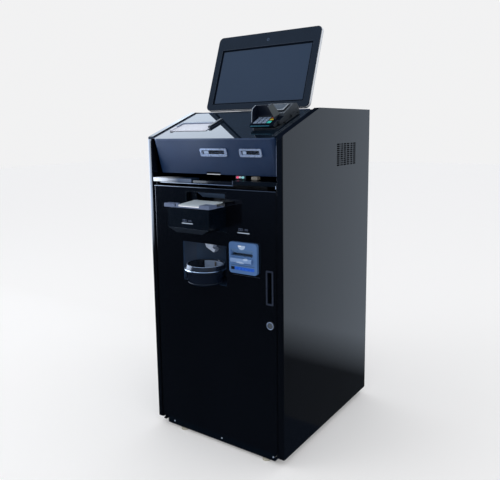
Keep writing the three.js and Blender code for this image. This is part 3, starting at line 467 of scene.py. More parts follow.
BEVELS = {
    "door_panel": 1.0, "left_side_panel": 0.7, "right_side_panel": 0.3, "hood_shell": 0.8, "deck_panel": 0.5,
    "note_hopper": 0.9, "hopper_tray": 0.5, "tray_rail": 0.6, "note_bezel": 1.4, "monitor_bezel": 0.5,
    "monitor_rear_cover": 1.2, "terminal_body": 1.2, "terminal_shield": 0.6, "terminal_cradle": 0.6,
    "top_plate": 0.5, "coin_nozzle": 0.9, "receipt_slot_bezel": 0.6, "card_slot_bezel": 0.6,
    "banknote_recycler": 1.2, "controller_box": 0.6, "coin_changer": 0.8, "receipt_printer": 1.0,
    "card_reader": 1.0, "monitor_bracket": 0.8, "fan_frame": 0.6,
}
BUILT_BY_HAND = {"coin_cup", "front_rail", "key_star", "key_hash", "key_enter", "key_clear", "key_cancel"}
BUILT_BY_HAND |= {"key_%d" % digit for digit in range(10)}
RECOLOURED = {
    # coin_nozzle gets a painted reflection: pale white-blue in place of its chrome.
    "base_plate": "hopper", "coin_nozzle": "nozzle", "coin_recess": "niche", "door_handle": "gloss",
    "door_hinge_rod": "hopper", "note_hopper": "hopper", "plinth": "hopper", "reader_frame": "guide",
    "terminal_display": "small_screen", "terminal_shield": "shield", "tray_rail": "guide_dark",
}
READER_WINDOW_UP = 92.0
READER_WINDOW_RIGHT = -64.0


def finish_cad_nodes():
    up_slope = on_deck(0, 1, 0) - on_deck(0, 0, 0)
    for node in sorted(set(NODES) - BUILT_BY_HAND):
        material = TRIM[RECOLOURED[node]] if node in RECOLOURED else None
        cuts = [(on_deck(0, READER_WINDOW_UP, 0), up_slope)] if node == "reader_frame" else []
        refined(node, BEVELS.get(node, 0.3), material, cuts)


def repaint(piece, material, picks):
    """Gives the faces that a test picks a material of their own. The test gets a face's centre and normal."""
    piece.data.materials.append(material)
    index = len(piece.data.materials) - 1
    for polygon in piece.data.polygons:
        if picks(polygon.center, polygon.normal):
            polygon.material_index = index


def deck_parts(point):
    """The x, up and out of a point, as on_deck() takes them."""
    origin = on_deck(0, 0, 0)
    offset = (point - origin) / MM
    return offset.x, offset.dot(on_deck(0, 1, 0) - origin) / MM, offset.dot(on_deck(0, 0, 1) - origin) / MM


def repaint_reader():
    """The document reader's frame: pale on the left around its window, dark on top of its right end."""
    reader = bpy.data.objects["reader_frame_skin"]
    down = (on_deck(0, 0, -1) - on_deck(0, 0, 0)) * 0.28
    for vertex in reader.data.vertices:
        if deck_parts(vertex.co)[2] < 0.4:
            vertex.co += down

    def pale(centre, _):
        x, up, out = deck_parts(centre)
        return x < READER_WINDOW_RIGHT and (out < 2.4 or up < READER_WINDOW_UP)

    def dark(centre, _):
        x, _, out = deck_parts(centre)
        return x > READER_WINDOW_RIGHT and out > 1.7
    repaint(reader, TRIM["paper"], pale)
    repaint(reader, TRIM["slate_dark"], dark)


def repaint_parts():
    """Second colours on solids: some carry two finishes, and some faces get a painted highlight or painted
    shade.
    """
    repaint_reader()
    out = (on_deck(0, 0, 1) - on_deck(0, 0, 0)) / MM
    face = on_monitor(0, 0, 0)
    forward = (on_monitor(0, 0, 1) - face) / MM
    vents = at(*((low + high) / 2 for low, high in zip(*span("fan_frame"))))
    vent_deep, vent_tall = 90 * MM, 70 * MM
    terminal_front, terminal_throat = 69.0, 113.0
    recess_low, recess_high, recess_out, lip_out = 630 * MM, 652 * MM, 7.6 * MM, 8.2 * MM

    def roof_or_vent(centre, normal):
        near = abs(centre.y - vents.y) < vent_deep and abs(centre.z - vents.z) < vent_tall
        return (normal.z > 0.3 and centre.z > 0.9) or (abs(normal.x) < 0.95 and near)

    def monitor_rim(centre, normal):
        return (centre - face).dot(forward) < -0.3 * MM and 0.2 < normal.dot(forward) < 0.99

    # Painted shade: the terminal's front below the keypad and the faces inside the shield's throat are made
    # dark and matte.
    def terminal_painted_shade(centre, normal):
        up = deck_parts(centre)[1]
        return up < terminal_front or (up < terminal_throat and normal.dot(out) > 0.7)

    def note_recess(centre, normal):
        return recess_low < centre.z < recess_high and centre.y > FRONT - recess_out and abs(normal.x) < 0.9

    def note_lip(centre, normal):
        return centre.y < FRONT - lip_out and normal.y < -0.7
    for node, material, picks in (
            # Painted highlight: the deck's front-facing faces at the top of the fascia are a lighter navy.
            ("deck_panel", "navy_painted_highlight", lambda _, normal: normal.y < -0.5),
            ("monitor_bezel", "dull", monitor_rim), ("right_side_panel", "dull", roof_or_vent),
            ("terminal_body", "dull", terminal_painted_shade), ("note_bezel", "bezel_shadow", note_recess),
            ("note_bezel", "bezel_mid", note_lip)):
        repaint(bpy.data.objects[node + "_skin"], TRIM[material], picks)


def metal_with_painted_highlight(name, near, far, start, end):
    """Brushed metal with a painted highlight: its colour falls off from a bright near colour at one place
    along X to a dark far colour at another.
    """
    material, tree, shader, vector = new_material(name)
    parts = new_node(tree, "SeparateXYZ", {"Vector": vector})
    fade = spread(tree, parts.outputs["X"], 0.0, 1.0, start * MM, end * MM)
    streaks = noise(tree, scaled(tree, vector, (0.05, 1.0, 1.0)), 190.0, 4.0)
    set_inputs(tree, shader, {"Base Color": blended(tree, fade, near, far), "Metallic": 0.2,
                              "Roughness": spread(tree, streaks, 0.24, 0.34)})
    return material


def add_front_rail():
    """The cross rail: a bright left end whose painted reflection fades to dark, and a lowered middle and a
    right end painted dark as the rail's reflection there.
    """
    low, high = span("front_rail")
    left_end, right_start = -72.0, 82.0
    spans = (("left", low[0], left_end, high[2], low[1],
              # Painted reflection: the left end is bright silver at its left and fades to dark navy towards
              # the middle.
              metal_with_painted_highlight("rail_left_end_highlight", (0.88, 0.92, 0.97), (0.010, 0.026, 0.062), -214.0, -124.0)),
             ("middle", left_end + 0.2, right_start - 0.2, high[2] - 4.5, low[1] + 4.0, TRIM["gloss"]),
             ("right", right_start, high[0], high[2], low[1], TRIM["hopper"]))
    for hand, x0, x1, top, front, material in spans:
        outline = soft_rect(x0, x1, low[2], top - 1.0, 0.8, 3)
        prism("rail_" + hand, outline, on_front, -high[1], -front, material, "cabinet",
                            "rail_silver", 0.8)
    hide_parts("front_rail")
    # Painted highlight on the rail's lower lip, bright at the left and fading to dark.
    strip("rail_lower_lip", (-200.0, low[2] - 3.2), (right_start, low[2] - 1.3), on_front,
          metal_with_painted_highlight("rail_lip_highlight", (0.62, 0.72, 0.86), (0.10, 0.15, 0.26), -190.0, -40.0), "cabinet",
          "rail_silver", 0.5, (-low[1] - 4.0, -low[1] - 0.4))
    for index, z in enumerate((low[2] + 4.6, high[2] - 3.2)):
        strip("rail_groove_%d" % index, (-168.0, z - 0.5), (left_end - 1.0, z + 0.5), on_front,
              TRIM["slate"], "cabinet", "rail_silver", 0.3, (-low[1] - 0.3, -low[1] + 0.12), 0.05)
    strip("rail_end_mark", (high[0] - 2.6, low[2] - 6.0), (high[0] - 0.8, low[2] + 3.0), on_front,
          TRIM["lining"], "cabinet", "rail_silver", 0.5, (-low[1] - 0.6, -low[1] + 0.3))
    strip("rail_end_edge", (right_start + 0.2, low[2] + 0.6), (right_start + 1.2, high[2] - 0.6), on_front,
          TRIM["guide"], "cabinet", "rail_silver", 0.4, (-low[1] - 0.2, -low[1] + 0.3))


def add_rail_lights():
    """The status lights and the plug that show in the gap over the rail."""
    rail_top = span("front_rail")[1][2]
    for name, x, material in (("red", 79.0, "red_lit"), ("white", 88.0, "white"), ("cyan", 97.5, "cyan_lit")):
        place = turned_place(at(x, 32.0, rail_top + 6.4), (0, -1, 0))
        dome = [(0.0, -3.0), (3.4, -3.0), (3.4, 1.0), (2.9, 2.6), (1.8, 3.6), (0.0, 4.0)]
        turned("status_light_" + name, dome, place, TRIM[material], "cabinet", "key_red", 24)
    strip("status_board", (70.0, rail_top + 0.5), (106.0, rail_top + 11.0), on_front, TRIM["slate"],
          "cabinet", "inner_plastic", 1.0, (-38.0, -35.0))
    outline = soft_rect(133.0, 153.0, rail_top + 0.4, rail_top + 10.5, 1.5)
    prism("cable_plug", outline, on_front, -40.0, -24.0, TRIM["beige"], "cabinet", "inner_plastic", 0.8)
    for x in (138.0, 143.0, 148.0):
        strip("cable_plug_rib_%d" % x, (x - 0.6, rail_top + 2.0), (x + 0.6, rail_top + 9.0), on_front,
              TRIM["beige"], "cabinet", "inner_plastic", 0.3, (-24.2, -23.4))


def add_plinth_trim():
    low, high = span("plinth")
    for index, x in enumerate((-182.0, 17.0, 210.0)):
        centre = at(x, low[1], (low[2] + high[2]) / 2)
        screw("plinth_screw_%d" % index, centre, (0, -1, 0), 2.6, TRIM["pale"])


def add_back_trim():
    low, high = span("rear_panel")
    inset, sunk, radius = 9.0, 1.4, 3.0
    for row, z in enumerate((low[2] + inset, (low[2] + high[2]) / 2, high[2] - inset)):
        for hand, x in (("left", low[0] + inset), ("right", high[0] - inset)):
            screw("rear_screw_%s_%d" % (hand, row), at(x, high[1] - sunk, z), (0, 1, 0), radius)
    inlet_low, inlet_high = span("inlet_panel")
    socket_x, socket_z = 165.0, 95.0
    for index, (dx, dz) in enumerate(((-7.0, -2.5), (0.0, 2.5), (7.0, -2.5))):
        x, z = socket_x + dx, socket_z + dz
        strip("inlet_pin_%d" % index, (x - 1.2, z - 2.6), (x + 1.2, z + 2.6), on_back, TRIM["chrome"],
              "cabinet", "lock_nickel", 0.4, (-17.0, -4.0), 0.4)
    for index, x in enumerate((inlet_low[0] + inset, inlet_high[0] - inset)):
        centre = at(x, high[1] - sunk, inlet_high[2] - inset)
        screw("inlet_screw_%d" % index, centre, (0, 1, 0), radius)


# ---------------------------------------------------------------- door

def add_hopper_trim():
    low, high = span("note_hopper")
    front_y = low[1]
    proud = 0.35
    foot_y = front_y + 12.0
    facet_top, facet_foot = 710.6, low[2] + 0.6
    facet = [at(-97.0, front_y - proud, facet_top), at(-79.4, foot_y - proud, facet_foot),
             at(20.4, foot_y - proud, facet_foot), at(54.6, front_y - proud, facet_top)]
    # Painted light: the hopper's lower facet is a lighter slate than its black front, standing in for the
    # light it catches from the front and above.
    slab("hopper_lit_facet", facet, 0.8, TRIM["slate_dark"], "door", "black_satin")
    roof_front, roof_back = at(0, 3.0, high[2] - 3.4), at(0, 17.0, 793.0)
    roof_ends = ((-50.0, roof_front), (-41.0, roof_back), (42.0, roof_back), (52.0, roof_front))
    roof = [Vector((x * MM, p.y, p.z)) for x, p in roof_ends]
    # Painted light: the mouth's sloping roof is lighter than the black hopper, standing in for the light its
    # satin face catches.
    slab("hopper_lit_deflector", roof, 0.8, TRIM["lit_deflector"], "door", "black_satin")
    bar_z = 725.0
    out = -front_y
    strip("hopper_picture_bar", (-45.0, bar_z), (-3.5, bar_z + 2.6), on_front, TRIM["pale"], "door",
          "black_satin", 1.2, (out, out + 0.25), 0.1)
    add_note_picture("hopper_picture", -34.0, bar_z + 9.0, out)
    add_coin_picture("hopper_coins", -14.0, bar_z + 9.0, out)
    strip("tray_front_lip", (-57.0, 774.6), (20.6, 777.6), on_front, TRIM["white"], "door",
          "bright_metal", 0.8, (out - 1.2, out - 0.2))


def add_note_picture(name, x, z, out):
    """A small picture of a banknote: a frame with a round middle."""
    outer = soft_rect(x - 7.0, x + 7.0, z - 3.4, z + 3.4, 0.8, 2)
    inner = soft_rect(x - 6.1, x + 6.1, z - 2.5, z + 2.5, 0.4, 2)
    ring(name + "_frame", outer, inner, on_front, out, out + 0.2, TRIM["guide"], "door", "black_satin",
         0.06, 1)
    prism(name + "_middle", round_outline(1.4, 14, (x, z)), on_front, out, out + 0.2, TRIM["guide"], "door",
          "black_satin", 0.06, 1)


def add_coin_picture(name, x, z, out):
    """A small picture of two coins."""
    for index, dx in enumerate((-3.2, 3.2)):
        outer = round_outline(2.7, 16, (x + dx, z))
        inner = round_outline(1.9, 16, (x + dx, z))
        ring("%s_%d" % (name, index), outer, inner, on_front, out, out + 0.2, TRIM["guide"], "door",
             "black_satin", 0.06, 1)


def add_door_top_edge():
    """The polished upper edge of the door's skin, with a painted highlight that is bright at the left and
    fades to dark towards the middle.
    """
    low, high = span("door_panel")
    strip("door_top_edge", (low[0] + 1.5, high[2] - 2.4), (high[0] - 1.5, high[2] - 0.7), on_front,
          metal_with_painted_highlight("door_edge_highlight", (0.42, 0.50, 0.62), (0.035, 0.055, 0.095), -228.0, -20.0), "door",
          "cabinet_gloss", 0.5, (-low[1] - 0.3, -low[1] + 0.2), 0.1)


def add_door_pictures():
    door_out = -span("door_panel")[0][1]
    strip("note_picture_bar", (97.0, 696.0), (139.0, 698.6), on_front, TRIM["pale"], "door", "cabinet_gloss",
          1.2, (door_out, door_out + 0.25), 0.1)
    add_note_picture("note_picture", 108.0, 707.0, door_out)
    add_coin_picture("note_picture_coins", 128.0, 707.0, door_out)


CUP_AXIS = (-26.0, 3.0)


def around_cup(u, v, w):
    """A place on the cup, from its upright axis."""
    return at(CUP_AXIS[0] + u, CUP_AXIS[1] + v, w)


def add_coin_cup():
    """The cup as smooth turned pieces: a dark bowl, a chrome collar, a brim painted pale as a highlight, and
    painted light on the inner wall at its back right.
    """
    low, high = span("coin_cup")
    foot, rim = low[2], high[2]
    bowl = [(0.0, foot), (46.0, foot), (48.5, foot + 0.8), (52.6, foot + 3.2), (54.4, foot + 6.6),
            (61.2, rim - 19.4), (62.4, rim - 18.2), (63.0, rim - 14.0), (57.8, rim - 0.8), (56.6, rim),
            (55.4, rim - 0.6), (54.2, rim - 3.2), (50.6, rim - 47.0), (48.4, rim - 51.6), (44.2, rim - 54.2),
            (0.0, rim - 55.6)]
    cup = turned("coin_cup_bowl", bowl, around_cup, MATERIALS["cup_dark"], "door", "cup_dark", 96)
    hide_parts("coin_cup")
    collar_r, collar_z, wire = 63.8, rim - 15.8, 2.0
    collar = [(collar_r + wire * math.cos(a), collar_z + wire * 1.15 * math.sin(a))
              for a in (math.radians(30 * k) for k in range(12))]
    turned("coin_cup_collar", collar, around_cup, TRIM["chrome"], "door", "bright_metal", 96)
    # Painted highlight: the brim is a pale ring on the dark cup.
    brim = [(57.7 + 0.9 * math.cos(a), rim - 0.9 + 0.7 * math.sin(a))
            for a in (math.radians(45 * k) for k in range(8))]
    turned("coin_cup_brim_highlight", brim, around_cup, TRIM["lining"], "door", "cup_dark", 96)
    # Painted light: a pale band on the inner wall at the back right, where the cup is lit.
    lining = [(54.2, rim - 4.0), (53.4, rim - 4.0), (50.4, rim - 44.0), (51.0, rim - 44.0)]
    turned("coin_cup_lining", lining, around_cup, TRIM["lining"], "door", "note_bezel_blue", 40, 26.0, 106.0)
    groove = [(61.5, rim - 22.2), (62.0, rim - 21.6), (62.0, rim - 20.8), (61.3, rim - 20.4),
              (60.7, rim - 21.4)]
    turned("coin_cup_bead", groove, around_cup, TRIM["slate_dark"], "door", "cup_dark", 96)
    foot_bead = [(54.6, foot + 6.4), (55.3, foot + 7.2), (55.0, foot + 8.4), (54.2, foot + 8.2)]
    turned("coin_cup_foot_bead", foot_bead, around_cup, TRIM["slate_dark"], "door", "cup_dark", 96)
    outline = soft_rect(CUP_AXIS[0] - 0.8, CUP_AXIS[0] + 0.8, foot + 8.0, rim - 6.0, 0.5, 2)
    prism("coin_cup_rib", outline, on_front, -(CUP_AXIS[1] + 53.0), -(CUP_AXIS[1] + 45.6), TRIM["beige"],
          "door", "cup_dark", 0.3)


def add_niche_trim():
    """A lighter band of painted light on the left part of the niche's curved wall."""
    low, high = span("coin_recess")
    centre_x, centre_y = (low[0] + high[0]) / 2 + 2.5, 4.4

    def around(u, v, w):
        return at(centre_x + u, centre_y + v, w)
    wall = 85.0
    top, bottom = high[2] - 11.0, low[2] + 9.0
    band = [(wall - 0.2, top), (wall - 1.4, top - 0.4), (wall - 1.4, bottom + 0.4), (wall - 0.2, bottom)]
    turned("niche_left_lining", band, around, TRIM["niche_painted_light"], "door", "black_satin", 24, 146.0, 30.0)


BEZEL_FACE = 8.0


def add_note_bezel_glints(middle, lip_out):
    """Two pale beads that follow the round lip under the banknote slot: painted glints, standing in for the
    lip's reflections.
    """
    lip_radius, lip_z = 9.0, 618.0
    cover = [(0.0, -0.6), (1.0, -0.6), (1.0, 0.0), (0.82, 0.10), (0.5, 0.17), (0.0, 0.2)]
    for index, (u, z, half, rise) in enumerate(((17.0, 622.8, 8.5, 3.2), (-2.0, 611.8, 14.0, 4.2))):
        def around(x, y, w, u=u, z=z, half=half, rise=rise):
            height = z + y * rise
            bulge = math.sqrt(max(0.0, lip_radius ** 2 - (height - lip_z) ** 2))
            out = max(BEZEL_FACE, lip_out - lip_radius + bulge) + w * 4.0
            return on_front(middle + u + x * half, height, out)
        turned("note_bezel_bead_%d" % index, cover, around, TRIM["bezel_pale"], "door", "note_bezel_blue", 40)


def add_note_bezel_trim():
    low, high = span("note_bezel")
    x0, x1 = low[0], high[0]
    middle = (x0 + x1) / 2 - 4.0
    thumb = round_outline(13.0, 18, (middle, high[2] - 9.0), 180.0, 180.0)
    prism("note_bezel_thumb_mark", thumb, on_front, BEZEL_FACE - 0.4, BEZEL_FACE + 0.5, TRIM["bezel_pale"],
          "door", "note_bezel_blue", 0.3)
    strip("note_bezel_thumb_glint", (middle - 12.0, high[2] - 12.5), (middle - 1.0, high[2] - 9.5), on_front,
          TRIM["white"], "door", "note_bezel_blue", 1.2, (BEZEL_FACE + 0.3, BEZEL_FACE + 0.8), 0.2)
    add_note_bezel_glints(middle, -low[1])
    strip("note_slot_shadow", (x0 + 8.5, 631.5), (x1 - 16.5, 636.6), on_front, TRIM["slate"], "door",
          "inner_plastic", 0.5, (-24.0, -6.0), 0.0)
    strip("note_bezel_groove", (x0 + 7.0, 602.0), (x1 - 8.0, 603.2), on_front, TRIM["slate"], "door",
          "note_bezel_blue", 0.4, (BEZEL_FACE - 0.4, BEZEL_FACE + 0.15), 0.05)
    for name, start, end, material, slot in (
            ("window", x0 + 20.0, x1 - 9.0, "blue_lit", "note_bezel_blue"),
            ("sensor", x0 + 7.0, x0 + 19.4, "lens", "display_glass")):
        strip("note_bezel_" + name, (start, 588.6), (end, 597.6), on_front, TRIM[material], "door", slot, 0.8,
              (BEZEL_FACE - 0.4, BEZEL_FACE + 0.5), 0.2)
    door_out = -span("door_panel")[0][1]
    # Painted highlight: a lighter line on the lower edge of the door's cut-out under the bezel.
    strip("note_bezel_cutout_highlight", (x0 + 4.0, 570.0), (x1 + 3.0, 571.2), on_front, TRIM["slate"], "door",
          "cabinet_gloss", 0.4, (door_out, door_out + 0.5), 0.15)


def add_handle_trim():
    low, high = span("door_handle")
    outer = soft_rect(low[0], high[0], low[2], high[2], 2.2)
    inner = soft_rect(low[0] + 5.2, high[0] - 5.2, low[2] + 5.2, high[2] - 5.2, 1.2)
    out = -low[1]
    ring("door_handle_rim", outer, inner, on_front, out - 0.1, out + 0.7, MATERIALS["handle_grey"], "door",
         "handle_grey", 0.3)


def add_lock_trim():
    low, high = span("door_lock")
    centre = at((low[0] + high[0]) / 2, low[1], high[2] - 12.0)
    place = turned_place(centre, (0, -1, 0))
    outer = [(11.2, -0.1), (11.2, 0.5), (10.7, 0.8), (9.6, 0.8), (9.2, 0.4), (9.2, -0.1)]
    turned("door_lock_ring", outer, place, MATERIALS["bright_metal"], "door_lock", "lock_nickel", 48)
    well = [(9.0, -0.1), (9.0, 0.2), (6.6, 0.2), (6.6, -0.1)]
    turned("door_lock_well", well, place, TRIM["slate_dark"], "door_lock", "lock_nickel", 48)
    core = [(6.4, -0.1), (6.4, 0.4), (6.0, 0.6), (5.6, 0.4), (5.6, -0.1)]
    turned("door_lock_core", core, place, MATERIALS["lock_nickel"], "door_lock", "lock_nickel", 40)


# ---------------------------------------------------------------- hood

def add_fascia_trim():
    # Painted shade: a black strip stands for the shade in the notch at the fascia's foot.
    strip("fascia_notch", (-35.0, 863.4), (18.0, 869.6), on_fascia, TRIM["painted_shade_black"], "hood", "hood_navy", 0.8,
          (-0.4, 0.25), 0.1)
    inner = span("right_side_panel")[0][0]
    # Painted highlight: a thin light line on the right panel's inner front edge.
    strip("right_panel_front_highlight", (inner + 0.4, 866.0), (inner + 1.4, 950.0), on_front, TRIM["guide"],
          "cabinet", "cabinet_gloss", 0.4, (-0.2, 0.3), 0.1)
    strip("fascia_latch_tab", (-34.0, 861.6), (17.0, 863.6), on_fascia, TRIM["white"], "hood",
          "bright_metal", 0.6, (-0.2, 1.2), 0.2)
    # Painted highlight along the fascia's upper lip, in a lighter navy.
    strip("fascia_lip_highlight", (-212.0, DECK_Z - 5.4), (211.0, DECK_Z - 3.0), on_fascia, TRIM["navy_painted_highlight"], "hood",
          "hood_navy", 0.8, (-0.2, 0.5), 0.2)
    strip("fascia_groove", (-212.0, DECK_Z - 2.8), (211.0, DECK_Z - 1.2), on_fascia, TRIM["slate_dark"],
          "hood", "hood_navy", 0.3, (-0.2, 0.3), 0.1)


def add_slot_throats():
    """The receipt and card slots: painted shade in their dark throats, with the guides and blocks beside
    them.
    """
    for name, z, slot0, slot1 in (("receipt", 929.5, -30.0, 44.0), ("card", 929.0, 112.0, 166.0)):
        def place(u, v, w, z=z):
            return on_fascia(u, z + v, w)
        outer = soft_rect(slot0 - 4.6, slot1 + 4.6, -5.9, 5.9, 1.2, 3)
        inner = soft_rect(slot0, slot1, -1.6, 1.6, 0.6, 3)
        ring(name + "_slot_throat", outer, inner, place, -1.5, 0.4, TRIM["painted_shade_black"], "hood", "inner_plastic",
             0.3)
        third = slot0 + (slot1 - slot0) * 0.3
        for hand, v in (("upper", 2.9), ("lower", -3.1)):
            strip("%s_slot_%s_guide" % (name, hand), (third, v - 0.4), (slot1 + 1.0, v + 0.4), place,
                  TRIM["slate"], "hood", "inner_plastic", 0.3, (0.3, 0.9), 0.15)
        strip(name + "_slot_left_block", (slot0 + 1.0, -4.4), (third - 3.0, 4.4), place,
              TRIM["lining"], "hood", "bright_metal", 0.6, (0.3, 1.1), 0.3)
        for hand, u in (("left", slot0 - 3.0), ("right", slot1 + 3.0)):
            strip("%s_slot_%s_cheek" % (name, hand), (u - 1.2, -3.6), (u + 1.2, 3.6), place,
                  TRIM["guide"], "hood", "bright_metal", 0.6, (0.3, 1.3), 0.3)


def add_document_window():
    outline = [(-193.0, 66.0), (-70.0, 66.0), (-80.0, 122.5), (-178.0, 122.5)]
    prism("document_window", outline, on_deck, 1.4, 1.9, TRIM["paper"], "hood", "display_glass", 0.15)


def add_deck_edge_highlights():
    """Two thin painted highlights that run up the deck's right side, and the seals beside the deck, lighter
    on the left and dark on the right.
    """
    for index, x in enumerate((211.0, 219.0)):
        strip("deck_edge_line_%d" % index, (x - 0.6, 14.0), (x + 0.6, 226.0), on_deck, TRIM["slate"], "hood",
              "deck_mirror", 0.4, (-0.1, 0.4), 0.15)
    for hand, x0, x1, material in (("left", -230.4, -226.6, "guide"), ("right", 226.6, 230.4, "dull")):
        strip("deck_seal_" + hand, (x0, 4.0), (x1, 230.0), on_deck, TRIM[material], "hood", "deck_mirror",
              0.6, (-1.8, -0.3), 0.3)


# ---------------------------------------------------------------- payment terminal

def keypad_height(up):
    return 17.0 + (up - 70.0) * math.tan(KEYPAD_SLOPE)


def on_key(x, up):
    """A place function in the keypad's own plane, about one key's centre."""
    cos, sin = math.cos(KEYPAD_SLOPE), math.sin(KEYPAD_SLOPE)
    base = keypad_height(up)

    def place(u, v, w):
        return on_deck(x + u, up + v * cos - w * sin, base + v * sin + w * cos)
    return place


KEY_ROWS = (("star", "0", "hash"), ("7", "8", "9"), ("4", "5", "6"), ("1", "2", "3"))
KEY_SIGNS = {"star": "*", "hash": "#"}


def key_cap(name, x, up, material, slot, half_u=6.2, half_v=3.8):
    """A key with a dished top and round corners. Its sides are dark below the coloured cap."""
    place = on_key(x, up)
    rows = []
    for inset, radius, w in ((0.0, 1.6, -2.8), (0.0, 1.6, 0.1), (0.0, 1.6, 0.6), (0.4, 1.4, 1.15),
                             (1.0, 1.2, 1.2), (2.3, 0.9, 0.85)):
        wide, deep = half_u - inset, half_v - inset
        line = soft_rect(-wide, wide, -deep, deep, min(radius, deep * 0.6), 4)
        rows.append([place(u, v, w) for u, v in line])
    cap = mesh_object(name + "_cap", lofted(rows), material, name, slot, 50.0)
    out = place(0, 0, 1) - place(0, 0, 0)
    base = place(0, 0, 0)
    repaint(cap, TRIM["shield"], lambda centre, _: (centre - base).dot(out) < 0.0)
    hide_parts(name)


def key_sign(name, sign, x, up):
    """A raised digit or sign on a key."""
    curve = bpy.data.curves.new(name + "_sign", "FONT")
    curve.body = sign
    curve.size = 5.0 * MM
    curve.extrude = 0.05 * MM
    curve.align_x = "CENTER"
    curve.align_y = "CENTER"
    holder = bpy.data.objects.new(name + "_sign_curve", curve)
    bpy.context.scene.collection.objects.link(holder)
    bpy.context.view_layer.update()
    mesh = bpy.data.meshes.new_from_object(holder)
    bpy.data.objects.remove(holder)
    place = on_key(x, up)
    origin = place(0, 0, 0)
    axes = [place(*step) - origin for step in ((1, 0, 0), (0, 1, 0), (0, 0, 1))]
    turn = Matrix(axes).transposed() * 1000.0
    mesh.transform(Matrix.Translation(place(0, 0, 0.9)) @ turn.to_4x4())
    mesh.name = name + "_sign"
    mesh.materials.clear()
    mesh.materials.append(TRIM["slate"])
    piece = bpy.data.objects.new(name + "_sign", mesh)
    bpy.context.scene.collection.objects.link(piece)
    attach(piece, name)


def add_keys():
    first, pitch = (122.5, 74.5), (15.4, 10.2)
    for row, names in enumerate(KEY_ROWS):
        for column, name in enumerate(names):
            x, up = first[0] + column * pitch[0], first[1] + row * pitch[1]
            key_cap("key_" + name, x, up, MATERIALS["key_light"], "key_light")
            key_sign("key_" + name, KEY_SIGNS.get(name, name), x, up)
    x = first[0] + 3 * pitch[0]
    for name, row, colour, half_u, half_v in (("enter", 0.3, "key_green", 6.5, 6.5),
                                              ("clear", 1.85, "key_yellow", 6.2, 3.8),
                                              ("cancel", 3.0, "key_red", 6.2, 3.8)):
        key_cap("key_" + name, x, first[1] + row * pitch[1], MATERIALS[colour], colour, half_u, half_v)


def add_terminal_trim():
    low_x, high_x = span("terminal_body")[0][0], span("terminal_body")[1][0]

    def front(u, v, w):
        return on_deck(u, 62.0 - w, v)
    strip("terminal_front_band", (low_x + 3.0, 11.2), (high_x - 22.0, 13.2), front, TRIM["teal"], "hood",
          "terminal_plastic", 0.7, (-0.2, 0.5), 0.2)
    cheek_y = (87.0, 115.4)
    outer = [on_deck(184.9, cheek_y[1], 12.0 + 16.0), on_deck(168.7, cheek_y[1], 59.0),
             on_deck(168.2, cheek_y[0], 60.6), on_deck(179.4, cheek_y[0] + 1.6, 27.5)]
    slab("terminal_flap_face", outer, 0.6, TRIM["grey_green"], "hood", "terminal_plastic", 0.2)
    add_shield_rim_highlight()
    add_display_frame()


def add_shield_rim_highlight():
    """A pale bead along the top edge of the shield's left cheek and back wall: a painted highlight on that
    edge.
    """
    path = ((75.4, 18.0), (79.0, 28.0), (82.6, 38.0), (87.6, 47.4), (94.0, 54.2), (102.0, 56.4),
            (113.0, 57.4))
    section = ((-1, 0), (-0.7, 1), (0.7, 1), (1, 0), (0, -1))
    x, half = 109.8, 0.55
    rows = [[on_deck(x + du * half, up - dn * half * 0.7, out + dn * half) for du, dn in section]
            for up, out in path]
    mesh_object("terminal_shield_rim_highlight", lofted(rows), TRIM["pale"], "hood", "terminal_plastic")


def add_display_frame():
    angle = math.atan2(9.0, 64.0)
    cos, sin = math.cos(angle), math.sin(angle)
    centre_x, centre_up = 155.0, 152.0
    base = 30.7 + 34.0 * math.tan(math.atan2(10, 64))

    def place(u, v, w):
        return on_deck(centre_x + u, centre_up + v * cos - w * sin, base + v * sin + w * cos)
    outer = soft_rect(-34.5, 34.5, -22.5, 22.5, 3.0)
    inner = soft_rect(-28.0, 28.0, -16.5, 16.5, 1.0)
    ring("terminal_display_frame", outer, inner, place, 1.2, 2.6, TRIM["gloss"], "hood", "display_glass", 0.4)


# ---------------------------------------------------------------- monitor

